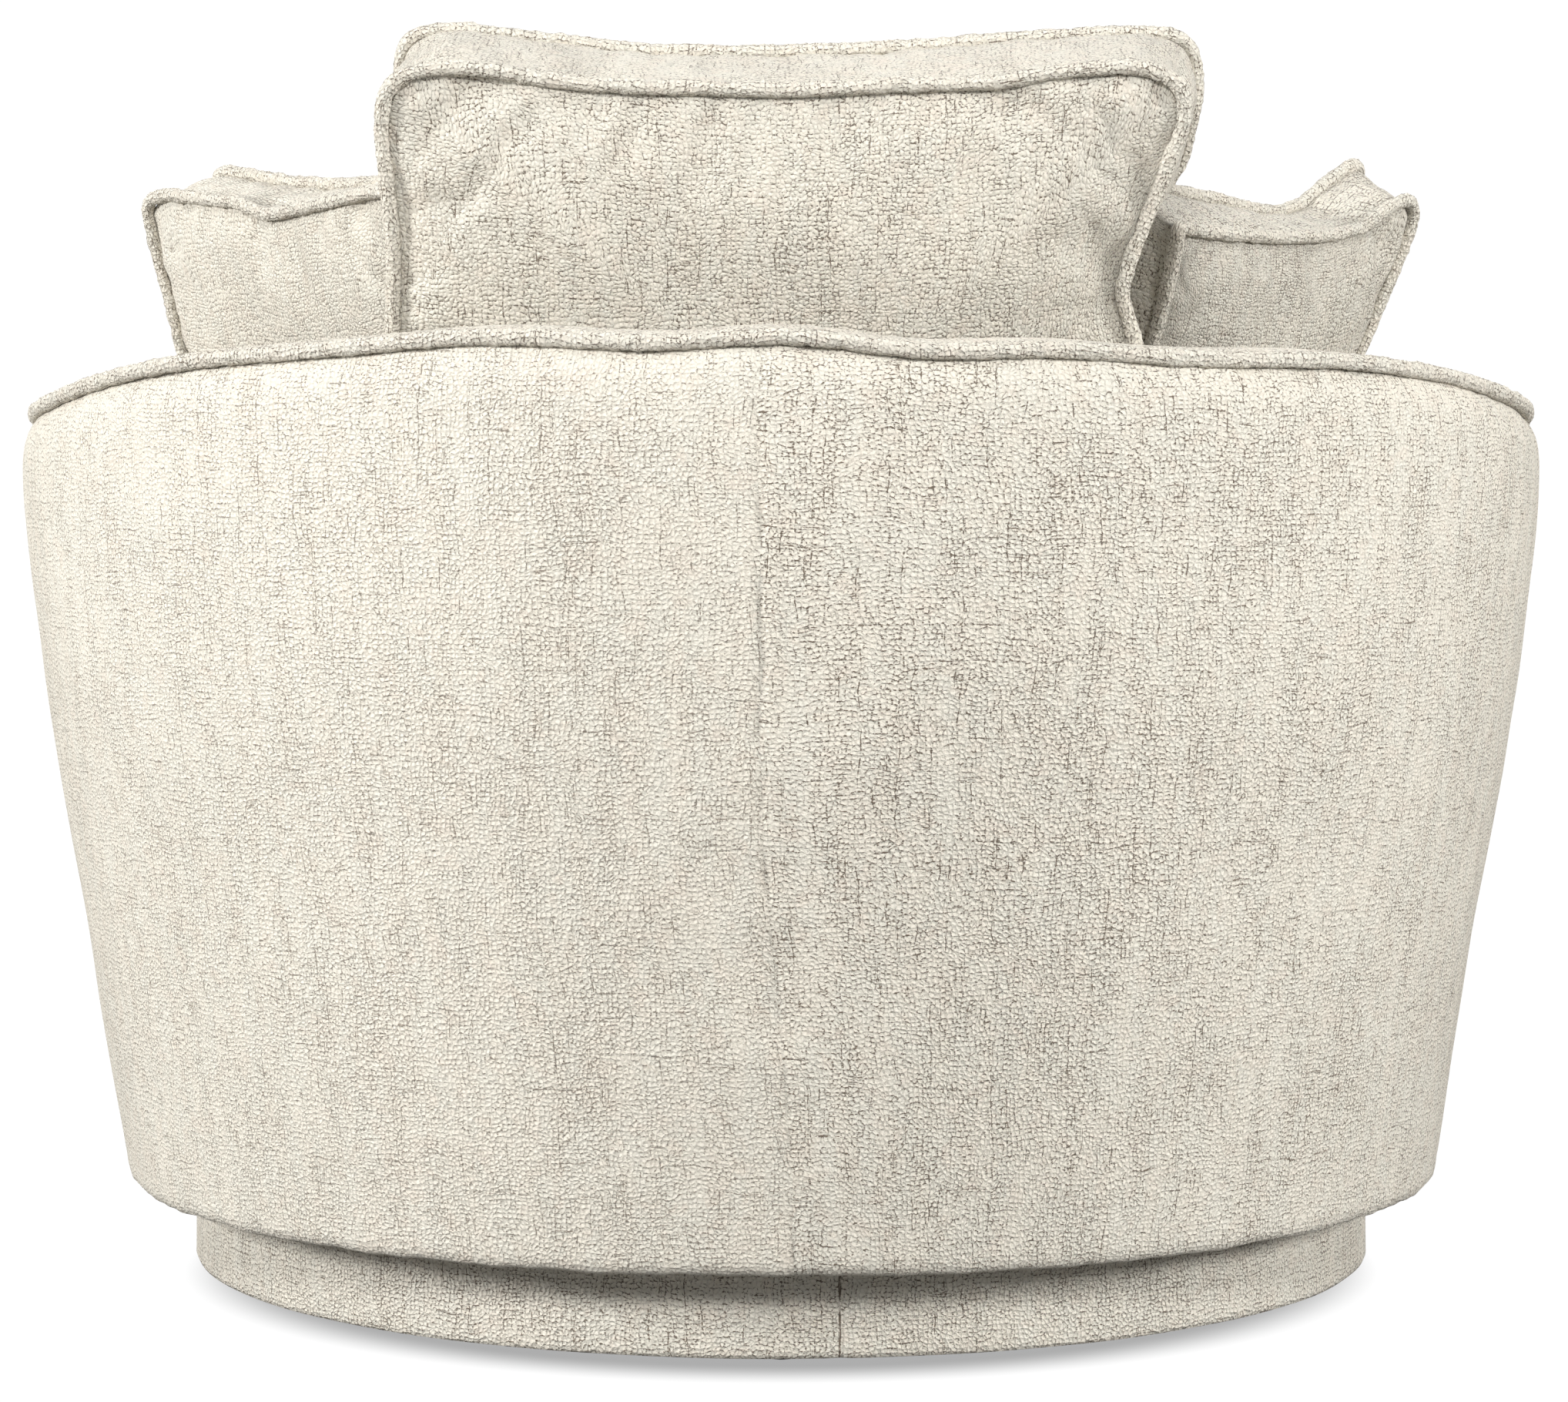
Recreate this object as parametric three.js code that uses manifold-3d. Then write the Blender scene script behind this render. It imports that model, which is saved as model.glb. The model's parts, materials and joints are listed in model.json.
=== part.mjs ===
// A round swivelling tub chair for one and a half people, with its loose cushions.
// Sizes are in millimetres. +Z is up, the open front faces -Y, and the tub turns about the Z axis.
// Angles round the tub are measured from the middle of the back, +Y, towards +X.
import * as THREE from "three";
import { mergeVertices } from "three/addons/utils/BufferGeometryUtils.js";
import Module from "manifold-3d";

const wasm = await Module();
wasm.setup();

const degree = Math.PI / 180;
const fullTurn = 2 * Math.PI;

// Facets: the tub's steps round the axis, and the sides of turned pieces
const roundStep = 9 * degree;
const plinthSides = 48;
const bearingSides = 24;
const smallSides = 10;
const ballSides = 6;
const ballRings = 4;

// Gap between pieces that touch, and the overrun of a cutting solid
const clearance = 0.3;
const cutOverrun = 5;

// Plinth
const plinthInset = 32.3;
const plinthClothThickness = 3;
const plinthClothTurnover = 30;
const glideHeight = 5.7;
const glideRadius = 12;
const glideCount = 6;
const hoopHeight = 38;
const hoopWall = 24;
const boardThickness = 18;
const braceWidth = 24;

// Swivel bearing
const plateRadius = 150;
const plateHoleRadius = 50;
const plateThickness = 2.5;
const raceRadius = 130;
const raceDepth = 1.2;
const raceHalfWidth = 4;
const ballCount = 12;
const cageThickness = 1.5;
const cageHalfWidth = 7;
const screwCount = 4;
const screwShankRadius = 2.4;
const screwHeadRadius = 6;
const screwHeadHeight = 2;
const screwLength = 14;
const lowerScrewCircle = 80;
const upperScrewCircle = 100;

// Tub, outside: its greatest radius, and how far it draws in above and below
const tubRadius = 596.5;
const rimSeamInset = 11.5;
const deckSideInset = 42.5;
const footInset = 31;
const footCornerWidth = 23;
const tubLipWidth = 38;
const tubBottomHeight = 67;
const tubFootHeight = 86;
const deckHeight = 285;
const rimSideHeight = 655;
const rimRearRise = 56;
const shoulderDrop = 63;
const crestRise = 15;

// Tub, inside
const rimWidth = 99;
const innerWallInset = 28;
const innerFaceBulge = 4;
const innerFaceDrop = 50;
const deckCornerRadius = 8;
const deckLipWidth = 43;
const frontEdgeRadius = 20;
const skinThickness = 8;

// Arm fronts: they start beyond the last ribs
const armRibGap = 18.1;
const armFrontLength = 66;
const armFrontPower = 2.6;
const coverEndReach = 14;

// Tub frame
const chassisInset = 5;
const dustClothThickness = 1;
const dustClothPlateGap = 12;
const linerThickness = 3;
const ribCount = 7;
const ribSpacing = 4 * roundStep;
const ribDepth = 45;
const ribFootDepth = 100;
const seatRingThickness = 22;
const seatOpeningCornerRadius = 60;
const railDrop = 36;
const frontPanelThickness = 6;
const frontPanelRise = 5;

// Seat suspension
const springCount = 4;
const springSpacing = 140;
const springWireRadius = 2;
const springWaveCount = 10;
const springHalfWidth = 22;
const springBearing = 16;
const padThickness = 5.1;
const padInset = 5;
const padBearing = 10.6;
const deckClothThickness = 3;

// Piping on the rim
const rimBeadRadius = 5;
const rimTongueThickness = 1;
const rimTongueDepth = 3.5;
const rimSeamGap = 2.2;

// Cushions in general
const coverThickness = 6;
const cushionBeadRadius = 5;
const zipWidth = 4;
const drawInShare = 0.055;

// Seat cushion
const seatWallGap = 10;
const seatFrontOverhang = 0.5;
const seatShoulderOverhang = 14;
const seatShoulderAngle = 129 * degree;
const seatSideThickness = 104;
const seatCrown = 48;
const seatCrownPower = 2.8;

// Back cushion: its half width spans so much of the round wall
const backHalfSpan = 38.1 * degree;
const backHeight = 511;
const backThickness = 146;
const backRearCrown = 20;
const backFrontCrown = 32;
const backFootSwell = 12;
const backLean = 18 * degree;
const backWallGap = 8;
const backAside = 12;

// Scatter cushions
const scatterHalfSpan = 24.46 * degree;
const scatterHeight = 444;
const scatterThickness = 66;
const scatterCrown = 14;
const scatterLean = 24 * degree;
const scatterTurn = 54 * degree;
const scatterWallGap = 3;
const scatterBackGap = 4;
const placeRounds = 60;
const placeShare = 0.3;

// Heights and radii that follow from the sizes above
const rimSeamRadius = tubRadius - rimSeamInset;
const tubDeckRadius = tubRadius - deckSideInset;
const tubFootRadius = tubDeckRadius - footInset;
const tubBottomRadius = tubFootRadius - footCornerWidth;
const tubLipRadius = tubBottomRadius - tubLipWidth;
const innerRimRadius = rimSeamRadius - rimWidth;
const innerDeckRadius = innerRimRadius - innerWallInset;
const deckLipRadius = innerDeckRadius - deckLipWidth;
const plinthRadius = tubBottomRadius - plinthInset;
const hoopOuter = plinthRadius - plinthClothThickness - clearance;
const hoopInner = hoopOuter - hoopWall;
const hoopBottom = glideHeight + clearance;
const hoopTop = hoopBottom + hoopHeight;
const plinthTopBottom = hoopTop + clearance;
const plinthTop = plinthTopBottom + boardThickness;
const lowerPlateBottom = plinthTop + clearance;
const lowerPlateTop = lowerPlateBottom + plateThickness;
const chassisBottom = tubBottomHeight + skinThickness + clearance;
const chassisTop = chassisBottom + boardThickness;
const upperPlateTop = chassisBottom - clearance;
const upperPlateBottom = upperPlateTop - plateThickness;
const bearingHeight = (lowerPlateTop + upperPlateBottom) / 2;
const ballRadius = bearingHeight - lowerPlateTop + raceDepth - clearance;
const chassisRadius = tubBottomRadius - chassisInset;
const frameBottom = chassisTop + clearance;
const ribFootRadius = tubBottomRadius - ribFootDepth;
const padTop = deckHeight - deckClothThickness - clearance;
const springTop = padTop - padThickness - clearance;
const springLevel = springTop - springWireRadius;
const seatRingTop = springLevel - springWireRadius - clearance;
const seatRingHeight = seatRingTop - seatRingThickness;
const frontPanelTop = seatRingHeight + frontPanelRise;
const linerInset = skinThickness + 2 * clearance;
const ribFacetDrop = (boardThickness / 2) * Math.tan(roundStep / 2);
const ribInset = linerInset + linerThickness + clearance + ribFacetDrop;
const armMiddleRadius = (rimSeamRadius + innerRimRadius) / 2;
const outerRibAngle = ((ribCount - 1) / 2) * ribSpacing;
const armStartAngle = outerRibAngle + armRibGap / armMiddleRadius;
const armEndAngle = armStartAngle + armFrontLength / armMiddleRadius;
const coverEndAngle = armEndAngle + coverEndReach / armMiddleRadius;
const railEndAngle = armStartAngle - clearance / armMiddleRadius;
const padRadius = deckLipRadius - padInset;
const seatOpeningStraight = Math.SQRT2 * (padRadius - padBearing - seatOpeningCornerRadius);
const seatOpeningWidth = seatOpeningStraight + 2 * seatOpeningCornerRadius;
const seatBottom = deckHeight + clearance;
const seatRadius = innerDeckRadius - seatWallGap;
const seatNeckAngle = coverEndAngle;
const seatShoulderRadius = tubDeckRadius + seatShoulderOverhang;
const seatFrontRadius = tubRadius + seatFrontOverhang;
const backWidth = 2 * (innerRimRadius - backWallGap) * Math.sin(backHalfSpan);
const scatterWidth = 2 * (innerRimRadius - scatterWallGap) * Math.sin(scatterHalfSpan);

// Looks
const cream = new THREE.MeshStandardMaterial({ color: 0xd9d3c6, roughness: 0.95 });
const creamSeam = new THREE.MeshStandardMaterial({ color: 0xcfc8ba, roughness: 0.95 });
const ply = new THREE.MeshStandardMaterial({ color: 0xc9a878, roughness: 0.7 });
const millboard = new THREE.MeshStandardMaterial({ color: 0x9a8468, roughness: 0.85 });
const foam = new THREE.MeshStandardMaterial({ color: 0xe6dfa8, roughness: 0.95 });
const fibre = new THREE.MeshStandardMaterial({ color: 0xf2f1ec, roughness: 0.95 });
const felt = new THREE.MeshStandardMaterial({ color: 0x6d6a66, roughness: 0.95 });
const blackCloth = new THREE.MeshStandardMaterial({ color: 0x222222, roughness: 0.9 });
const nylon = new THREE.MeshStandardMaterial({ color: 0x2a2a2a, roughness: 0.5 });
const steel = new THREE.MeshStandardMaterial({ color: 0x9a9da0, roughness: 0.4, metalness: 1 });

const chair = new THREE.Group();

function addPiece(parent, name, geometry, material) {
  const mesh = new THREE.Mesh(geometry, material.clone());
  mesh.name = name;
  parent.add(mesh);
  return mesh;
}

const mix = (a, b, share) => a + (b - a) * share;

// Closed bodies from points and faces

function bodyGeometry(points, faces) {
  let volume = 0;
  for (const [a, b, c] of faces) volume += points[a].dot(points[b].clone().cross(points[c]));
  const turned = volume < 0 ? faces.map(([a, b, c]) => [a, c, b]) : faces;
  const geometry = new THREE.BufferGeometry().setFromPoints(points);
  geometry.setIndex(turned.flat());
  geometry.computeVertexNormals();
  return geometry;
}

// A body through a row of like outlines. The flat outlines are the same ones in their own planes.
function loft(outlines, flatOutlines) {
  const size = outlines[0].length;
  const points = outlines.flat();
  const faces = [];
  for (let i = 0; i < outlines.length - 1; i++) {
    for (let k = 0; k < size; k++) {
      const n = (k + 1) % size;
      const [a, b, c, d] = [i * size + k, i * size + n, (i + 1) * size + n, (i + 1) * size + k];
      const isShorter = points[a].distanceTo(points[c]) < points[b].distanceTo(points[d]);
      if (isShorter) faces.push([a, b, c], [a, c, d]);
      else faces.push([a, b, d], [b, c, d]);
    }
  }
  for (const end of [0, outlines.length - 1]) {
    const flat = flatOutlines[end];
    const isTurned = THREE.ShapeUtils.isClockWise(flat) === (end === 0);
    for (const [a, b, c] of THREE.ShapeUtils.triangulateShape(flat, [])) {
      const face = isTurned ? [a, b, c] : [a, c, b];
      faces.push(face.map((v) => end * size + v));
    }
  }
  return bodyGeometry(points, faces);
}

const atAngle = (radius, angle, height) =>
  new THREE.Vector3(radius * Math.sin(angle), radius * Math.cos(angle), height);

// outlineAt gives the [radius, height] points of a section at an angle round the tub.
function loftRound(angles, outlineAt) {
  const flats = angles.map((angle) => outlineAt(angle).map(([r, z]) => new THREE.Vector2(r, z)));
  const outlines = flats.map((flat, i) => flat.map((p) => atAngle(p.x, angles[i], p.y)));
  return loft(outlines, flats);
}

// A turned body from the closed outline of its section.
function turned(outline, sides = plinthSides) {
  const points = outline.map(([r, z]) => new THREE.Vector2(r, z));
  const onAxis = outline[0][0] === 0;
  if (!onAxis) points.push(points[0].clone());
  const geometry = new THREE.LatheGeometry(points, sides);
  geometry.rotateX(Math.PI / 2);
  return outwards(geometry);
}

const disc = (radius, bottom, top) => [[0, bottom], [radius, bottom], [radius, top], [0, top]];

function merged(geometry) {
  const bare = geometry.clone();
  bare.deleteAttribute("normal");
  bare.deleteAttribute("uv");
  return mergeVertices(bare, clearance / 100);
}

// Drops faces without area, and turns the faces outwards.
function outwards(geometry) {
  const bare = merged(geometry);
  const position = bare.getAttribute("position");
  const points = [];
  for (let i = 0; i < position.count; i++) points.push(new THREE.Vector3().fromBufferAttribute(position, i));
  const faces = [];
  const index = bare.index.array;
  for (let i = 0; i < index.length; i += 3) {
    const face = [index[i], index[i + 1], index[i + 2]];
    if (new Set(face).size === 3) faces.push(face);
  }
  return bodyGeometry(points, faces);
}

function solid(geometry) {
  const bare = merged(geometry);
  const mesh = new wasm.Mesh({
    numProp: 3,
    vertProperties: bare.getAttribute("position").array,
    triVerts: new Uint32Array(bare.index.array),
  });
  return new wasm.Manifold(mesh);
}

function fromSolid(made) {
  const mesh = made.getMesh();
  const geometry = new THREE.BufferGeometry();
  geometry.setAttribute("position", new THREE.BufferAttribute(mesh.vertProperties, 3));
  geometry.setIndex(new THREE.BufferAttribute(mesh.triVerts, 1));
  geometry.computeVertexNormals();
  return geometry;
}

function cut(geometry, ...cutters) {
  const made = cutters.reduce((left, cutter) => left.subtract(solid(cutter)), solid(geometry));
  return fromSolid(made);
}

function cylinderAt(radius, height, x, y, bottom, sides = bearingSides) {
  const geometry = new THREE.CylinderGeometry(radius, radius, height, sides);
  geometry.rotateX(Math.PI / 2);
  geometry.translate(x, y, bottom + height / 2);
  return geometry;
}

function boxAt(width, depth, height, bottom) {
  const geometry = new THREE.BoxGeometry(width, depth, height);
  geometry.translate(0, 0, bottom + height / 2);
  return geometry;
}

// The largest circle that lies inside one with the tub's facets.
const insideFacets = (radius) => radius * Math.cos(roundStep / 2) - clearance;

// The tub's upholstered outline

const sideRadiusAt = (height) =>
  mix(tubFootRadius, tubDeckRadius, (height - tubFootHeight) / (deckHeight - tubFootHeight));

const rimHeightAt = (radius, angle) =>
  rimSideHeight + (rimRearRise * radius * Math.cos(angle)) / rimSeamRadius;

const footCornerShares = [0.6, 0.26];
const wallSideShares = [0.1, 0.6];
const shoulderShares = [0.15, 0.65];
const rollShares = [[0.14, 0.65], [0.4, 1], [0.7, 0.55]];
const rollInnerShares = [0.9, 0.24];
const innerFaceShare = 0.45;
const deckCornerShare = 0.3;
const frontSideShares = [0.35, 0.6, 0.8, 0.9];
const frontEdgeShares = [[0.35, 0.3], [0.9, 0.03]];
const footPoints = 4;
const seamPoint = 9;
const pathPoints = 20;

// From the lip under the tub, up the outside, over the rim and down the inside to the lip on the deck.
function wallPath(angle) {
  const rim = rimHeightAt(rimSeamRadius, angle);
  const shoulder = rim - shoulderDrop;
  const innerTop = rim - innerFaceDrop;
  const innerFoot = deckHeight + deckCornerRadius;
  const path = footPath();
  for (const share of wallSideShares) {
    const height = mix(deckHeight, shoulder, share);
    path.push([Math.min(sideRadiusAt(height), tubRadius), height]);
  }
  path.push([tubRadius, shoulder]);
  path.push([mix(tubRadius, rimSeamRadius, shoulderShares[0]), mix(shoulder, rim, shoulderShares[1])]);
  path.push([rimSeamRadius, rim]);
  for (const [across, up] of rollShares) {
    path.push([rimSeamRadius - rimWidth * across, rim + crestRise * up]);
  }
  path.push([rimSeamRadius - rimWidth * rollInnerShares[0], rim - innerFaceDrop * rollInnerShares[1]]);
  path.push([innerRimRadius, innerTop]);
  path.push([
    mix(innerRimRadius, innerDeckRadius, innerFaceShare) - innerFaceBulge,
    mix(innerTop, innerFoot, innerFaceShare),
  ]);
  path.push([innerDeckRadius, innerFoot]);
  const cornerStep = deckCornerRadius * deckCornerShare;
  path.push([innerDeckRadius - cornerStep, deckHeight + cornerStep]);
  path.push([innerDeckRadius - deckCornerRadius, deckHeight]);
  path.push([deckLipRadius, deckHeight]);
  return path;
}

function footPath() {
  const rise = tubFootHeight - tubBottomHeight;
  const out = tubFootRadius - tubBottomRadius;
  const straightStart = tubFootHeight + rise;
  return [
    [tubLipRadius, tubBottomHeight],
    [tubBottomRadius, tubBottomHeight],
    [tubBottomRadius + out * footCornerShares[0], tubBottomHeight + rise * footCornerShares[1]],
    [tubFootRadius, tubFootHeight],
    [sideRadiusAt(straightStart), straightStart],
  ];
}

// The same count of points where there is no wall, only the border under the seat front.
function frontPath() {
  const path = footPath();
  for (const share of frontSideShares) {
    const height = mix(tubFootHeight, deckHeight, share);
    path.push([sideRadiusAt(height), height]);
  }
  for (const [inward, down] of frontEdgeShares) {
    path.push([tubDeckRadius - frontEdgeRadius * inward, deckHeight - frontEdgeRadius * down]);
  }
  const flatStart = tubDeckRadius - 2 * frontEdgeRadius;
  const flatEnd = innerDeckRadius - deckCornerRadius;
  const flatCount = pathPoints - path.length - 1;
  for (let i = 0; i < flatCount; i++) path.push([mix(flatStart, flatEnd, i / (flatCount - 1)), deckHeight]);
  path.push([deckLipRadius, deckHeight]);
  return path;
}

function wallShareAt(angle, inset) {
  const along = (Math.abs(angle) - armStartAngle) * armMiddleRadius + inset;
  const share = Math.min(Math.max(along / armFrontLength, 0), 1);
  return Math.pow(1 - Math.pow(share, armFrontPower), 1 / armFrontPower);
}

// The outline at an angle, moved inwards from the fabric's face by inset.
function pathAt(angle, inset) {
  const share = wallShareAt(angle, inset);
  const low = frontPath();
  const base = wallPath(angle).map(([r, z], i) => [mix(low[i][0], r, share), mix(low[i][1], z, share)]);
  if (inset === 0) return base;
  return base.map(([r, z], i) => {
    const before = base[Math.max(i - 1, 0)];
    const after = base[Math.min(i + 1, base.length - 1)];
    const back = new THREE.Vector2(r - before[0], z - before[1]).normalize();
    const on = new THREE.Vector2(after[0] - r, after[1] - z).normalize();
    const along = back.clone().add(on).normalize();
    const straight = Math.max(back.length() ? along.dot(back) : along.dot(on), Math.SQRT1_2);
    return [r - (along.y * inset) / straight, z + (along.x * inset) / straight];
  });
}

// The radius of the outside at a height, from the outline's outer points.
function outsideRadiusAt(height, angle) {
  const path = pathAt(angle, 0);
  for (let i = footPoints - 1; i < seamPoint; i++) {
    const [[r0, z0], [r1, z1]] = [path[i], path[i + 1]];
    if (height <= z1 || i === seamPoint - 1) return mix(r0, r1, (height - z0) / (z1 - z0));
  }
  return tubRadius;
}

const armFrontShares = [0, 0.25, 0.5, 0.7, 0.85, 0.95, 1];

function anglesBetween(start, end) {
  const angles = [start, end];
  const add = (angle) => {
    const isNew = angles.every((other) => Math.abs(other - angle) > roundStep / 30);
    if (angle > start && angle < end && isNew) angles.push(angle);
  };
  for (const share of armFrontShares) {
    const angle = mix(armStartAngle, armEndAngle, share);
    for (const side of [-angle, angle, fullTurn - angle]) add(side);
  }
  const isNearArm = (angle) => {
    const folded = Math.abs(angle) > Math.PI ? fullTurn - Math.abs(angle) : Math.abs(angle);
    return folded > armStartAngle - roundStep / 6 && folded < armEndAngle + roundStep / 4;
  };
  for (let angle = -Math.PI; angle < fullTurn; angle += roundStep) if (!isNearArm(angle)) add(angle);
  return angles.sort((a, b) => a - b);
}

const folded = (angle) => (angle > Math.PI ? angle - fullTurn : angle);

const mostTrimShare = 0.8;

// A skin along chosen points of the outline, with its ends drawn back for the piping.
function skin(angles, picked, firstTrim, lastTrim) {
  const trimmed = (angle, inset) => {
    const whole = pathAt(folded(angle), inset);
    const path = picked.map((i) => whole[i]);
    const draw = (end, next, trim) => {
      const gap = Math.hypot(path[next][0] - path[end][0], path[next][1] - path[end][1]);
      const share = Math.min(trim / gap, mostTrimShare);
      path[end] = [mix(path[end][0], path[next][0], share), mix(path[end][1], path[next][1], share)];
    };
    if (firstTrim) draw(0, 1, firstTrim);
    if (lastTrim) draw(path.length - 1, path.length - 2, lastTrim);
    return path;
  };
  return loftRound(angles, (angle) => [...trimmed(angle, 0), ...trimmed(angle, skinThickness).reverse()]);
}

// A bent panel behind the outside face, through the heights that heightsAt gives.
function sidePanel(angles, heightsAt, thickness) {
  return loftRound(angles, (angle) => {
    const turn = folded(angle);
    const face = (depth) => heightsAt(turn).map((z) => [outsideRadiusAt(z, turn) - depth, z]);
    return [...face(linerInset), ...face(linerInset + thickness).reverse()];
  });
}

// Plinth

const base = new THREE.Group();
chair.add(base);

function addPlinth() {
  const glideChamfer = glideHeight / 4;
  const glideCircle = hoopOuter - hoopWall / 2;
  const glide = [
    [0, 0],
    [glideRadius - glideChamfer, 0],
    [glideRadius, glideChamfer],
    [glideRadius, glideHeight],
    [0, glideHeight],
  ];
  for (let i = 0; i < glideCount; i++) {
    const mesh = addPiece(base, `glide_${i + 1}`, turned(glide, smallSides), nylon);
    mesh.position.copy(atAngle(glideCircle, (i * fullTurn) / glideCount, 0));
  }
  const hoop = [[hoopInner, hoopBottom], [hoopOuter, hoopBottom], [hoopOuter, hoopTop], [hoopInner, hoopTop]];
  addPiece(base, "plinth_hoop", turned(hoop), ply);

  const hoopInside = hoopInner * Math.cos(Math.PI / plinthSides);
  const braceHalf = Math.sqrt(hoopInside ** 2 - (braceWidth / 2) ** 2) - clearance;
  const braceBottom = hoopBottom + plinthClothThickness;
  const rail = boxAt(2 * braceHalf, braceWidth, hoopTop - braceBottom, braceBottom);
  const crossRail = rail.clone().rotateZ(Math.PI / 2);
  addPiece(base, "plinth_brace", fromSolid(solid(rail).add(solid(crossRail))), ply);

  const topBoard = turned(disc(hoopOuter, plinthTopBottom, plinthTop));
  const holes = screwHoles(lowerScrewCircle, plinthTopBottom, plinthTop);
  addPiece(base, "plinth_top_board", cut(topBoard, ...holes), ply);

  const clothTop = plinthTop + clearance;
  const turnIn = hoopOuter - plinthClothTurnover;
  const sleeve = [
    [hoopOuter + clearance, hoopBottom],
    [plinthRadius, hoopBottom],
    [plinthRadius, clothTop],
    [plinthRadius - plinthClothThickness, clothTop + plinthClothThickness],
    [turnIn, clothTop + plinthClothThickness],
    [turnIn, clothTop],
    [hoopOuter + clearance, clothTop],
  ];
  addPiece(base, "plinth_cover", turned(sleeve), cream);
}

function screwPlaces(circle) {
  const places = Array.from({ length: screwCount }, (_, i) => i + 0.5);
  return places.map((place) => atAngle(circle, (place * fullTurn) / screwCount, 0));
}

function screwHoles(circle, bottom, top) {
  const height = top - bottom + 2 * cutOverrun;
  return screwPlaces(circle).map((place) =>
    cylinderAt(screwShankRadius + 2 * clearance, height, place.x, place.y, bottom - cutOverrun, smallSides),
  );
}

// A round-headed screw that stands on its head at height 0 and points up.
function screw() {
  return turned(
    [
      [0, -screwHeadHeight],
      [screwHeadRadius / 2, -screwHeadHeight],
      [screwHeadRadius, 0],
      [screwShankRadius, 0],
      [screwShankRadius, screwLength - screwShankRadius],
      [0, screwLength],
    ],
    smallSides,
  );
}

// Swivel bearing: two pressed plates, each with a race, and a cage of balls between them

const tub = new THREE.Group();
chair.add(tub);

function platePiece(flat, grooved) {
  const deep = grooved + Math.sign(flat - grooved) * raceDepth;
  const outline = [
    [plateHoleRadius, flat],
    [plateRadius, flat],
    [plateRadius, grooved],
    [raceRadius + raceHalfWidth, grooved],
    [raceRadius + raceHalfWidth / 2, deep],
    [raceRadius - raceHalfWidth / 2, deep],
    [raceRadius - raceHalfWidth, grooved],
    [plateHoleRadius, grooved],
  ];
  return turned(outline, bearingSides);
}

function addBearing() {
  const lower = platePiece(lowerPlateBottom, lowerPlateTop);
  const lowerHoles = screwHoles(lowerScrewCircle, lowerPlateBottom, lowerPlateTop);
  addPiece(base, "swivel_lower_plate", cut(lower, ...lowerHoles), steel);
  const upper = platePiece(upperPlateTop, upperPlateBottom);
  const upperHoles = screwHoles(upperScrewCircle, upperPlateBottom, upperPlateTop);
  addPiece(tub, "swivel_upper_plate", cut(upper, ...upperHoles), steel);

  screwPlaces(lowerScrewCircle).forEach((place, i) => {
    const mesh = addPiece(base, `lower_plate_screw_${i + 1}`, screw(), steel);
    mesh.rotation.x = Math.PI;
    mesh.position.set(place.x, place.y, lowerPlateTop + clearance);
  });
  screwPlaces(upperScrewCircle).forEach((place, i) => {
    const mesh = addPiece(tub, `upper_plate_screw_${i + 1}`, screw(), steel);
    mesh.position.set(place.x, place.y, upperPlateBottom - clearance);
  });

  const cageLow = bearingHeight - cageThickness / 2;
  const cageHigh = bearingHeight + cageThickness / 2;
  const [inside, outside] = [raceRadius - cageHalfWidth, raceRadius + cageHalfWidth];
  const ring = [[inside, cageLow], [outside, cageLow], [outside, cageHigh], [inside, cageHigh]];
  let cage = solid(turned(ring, bearingSides));
  for (let i = 0; i < ballCount; i++) {
    const ball = new THREE.SphereGeometry(ballRadius, ballSides, ballRings);
    ball.rotateX(Math.PI / 2);
    const place = atAngle(raceRadius, ((i + 0.5) * fullTurn) / ballCount, bearingHeight);
    ball.translate(place.x, place.y, place.z);
    cage = cage.add(solid(outwards(ball)));
  }
  addPiece(chair, "ball_cage", fromSolid(cage), steel);
}

// Tub frame

function addChassis() {
  const outline = [
    [plateHoleRadius, chassisBottom],
    [chassisRadius, chassisBottom],
    [chassisRadius, chassisTop],
    [plateHoleRadius, chassisTop],
  ];
  const holes = screwHoles(upperScrewCircle, chassisBottom, chassisTop);
  addPiece(tub, "chassis_board", cut(turned(outline), ...holes), ply);
  const clothTop = chassisBottom - clearance;
  const clothInner = plateRadius + dustClothPlateGap;
  const clothOuter = insideFacets(tubLipRadius);
  const cloth = [
    [clothInner, clothTop - dustClothThickness],
    [clothOuter, clothTop - dustClothThickness],
    [clothOuter, clothTop],
    [clothInner, clothTop],
  ];
  addPiece(tub, "dust_cover", turned(cloth), blackCloth);
}

// A ply panel that stands on the chassis board in a radial plane.
function addRadialPanel(name, angle, outline) {
  const shape = new THREE.Shape(outline.map(([r, z]) => new THREE.Vector2(r, z)));
  const geometry = new THREE.ExtrudeGeometry(shape, { depth: boardThickness, bevelEnabled: false });
  geometry.translate(0, 0, -boardThickness / 2);
  geometry.rotateX(Math.PI / 2);
  const mesh = addPiece(tub, name, geometry, ply);
  mesh.rotation.z = Math.PI / 2 - angle;
}

const railTopAt = (radius, angle) => rimHeightAt(radius, angle) - railDrop;
const railInner = tubRadius - ribInset - ribDepth;
const ribOuterAt = (height, angle) => outsideRadiusAt(height, angle) - ribInset;
const ribInnerAt = (height, angle) => ribOuterAt(height, angle) - ribDepth;
const ledgeHeight = seatRingHeight - clearance;
const frontPanelInnerAt = (height) => sideRadiusAt(height) - linerInset - frontPanelThickness;
const ribTiltDrop = ((boardThickness / 2) * rimRearRise) / rimSeamRadius;

// The heights at which the outside bends, between the deck and the rail.
const bendHeightsAt = (angle) => pathAt(angle, 0).slice(seamPoint - 4, seamPoint - 1).map(([, z]) => z);

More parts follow.
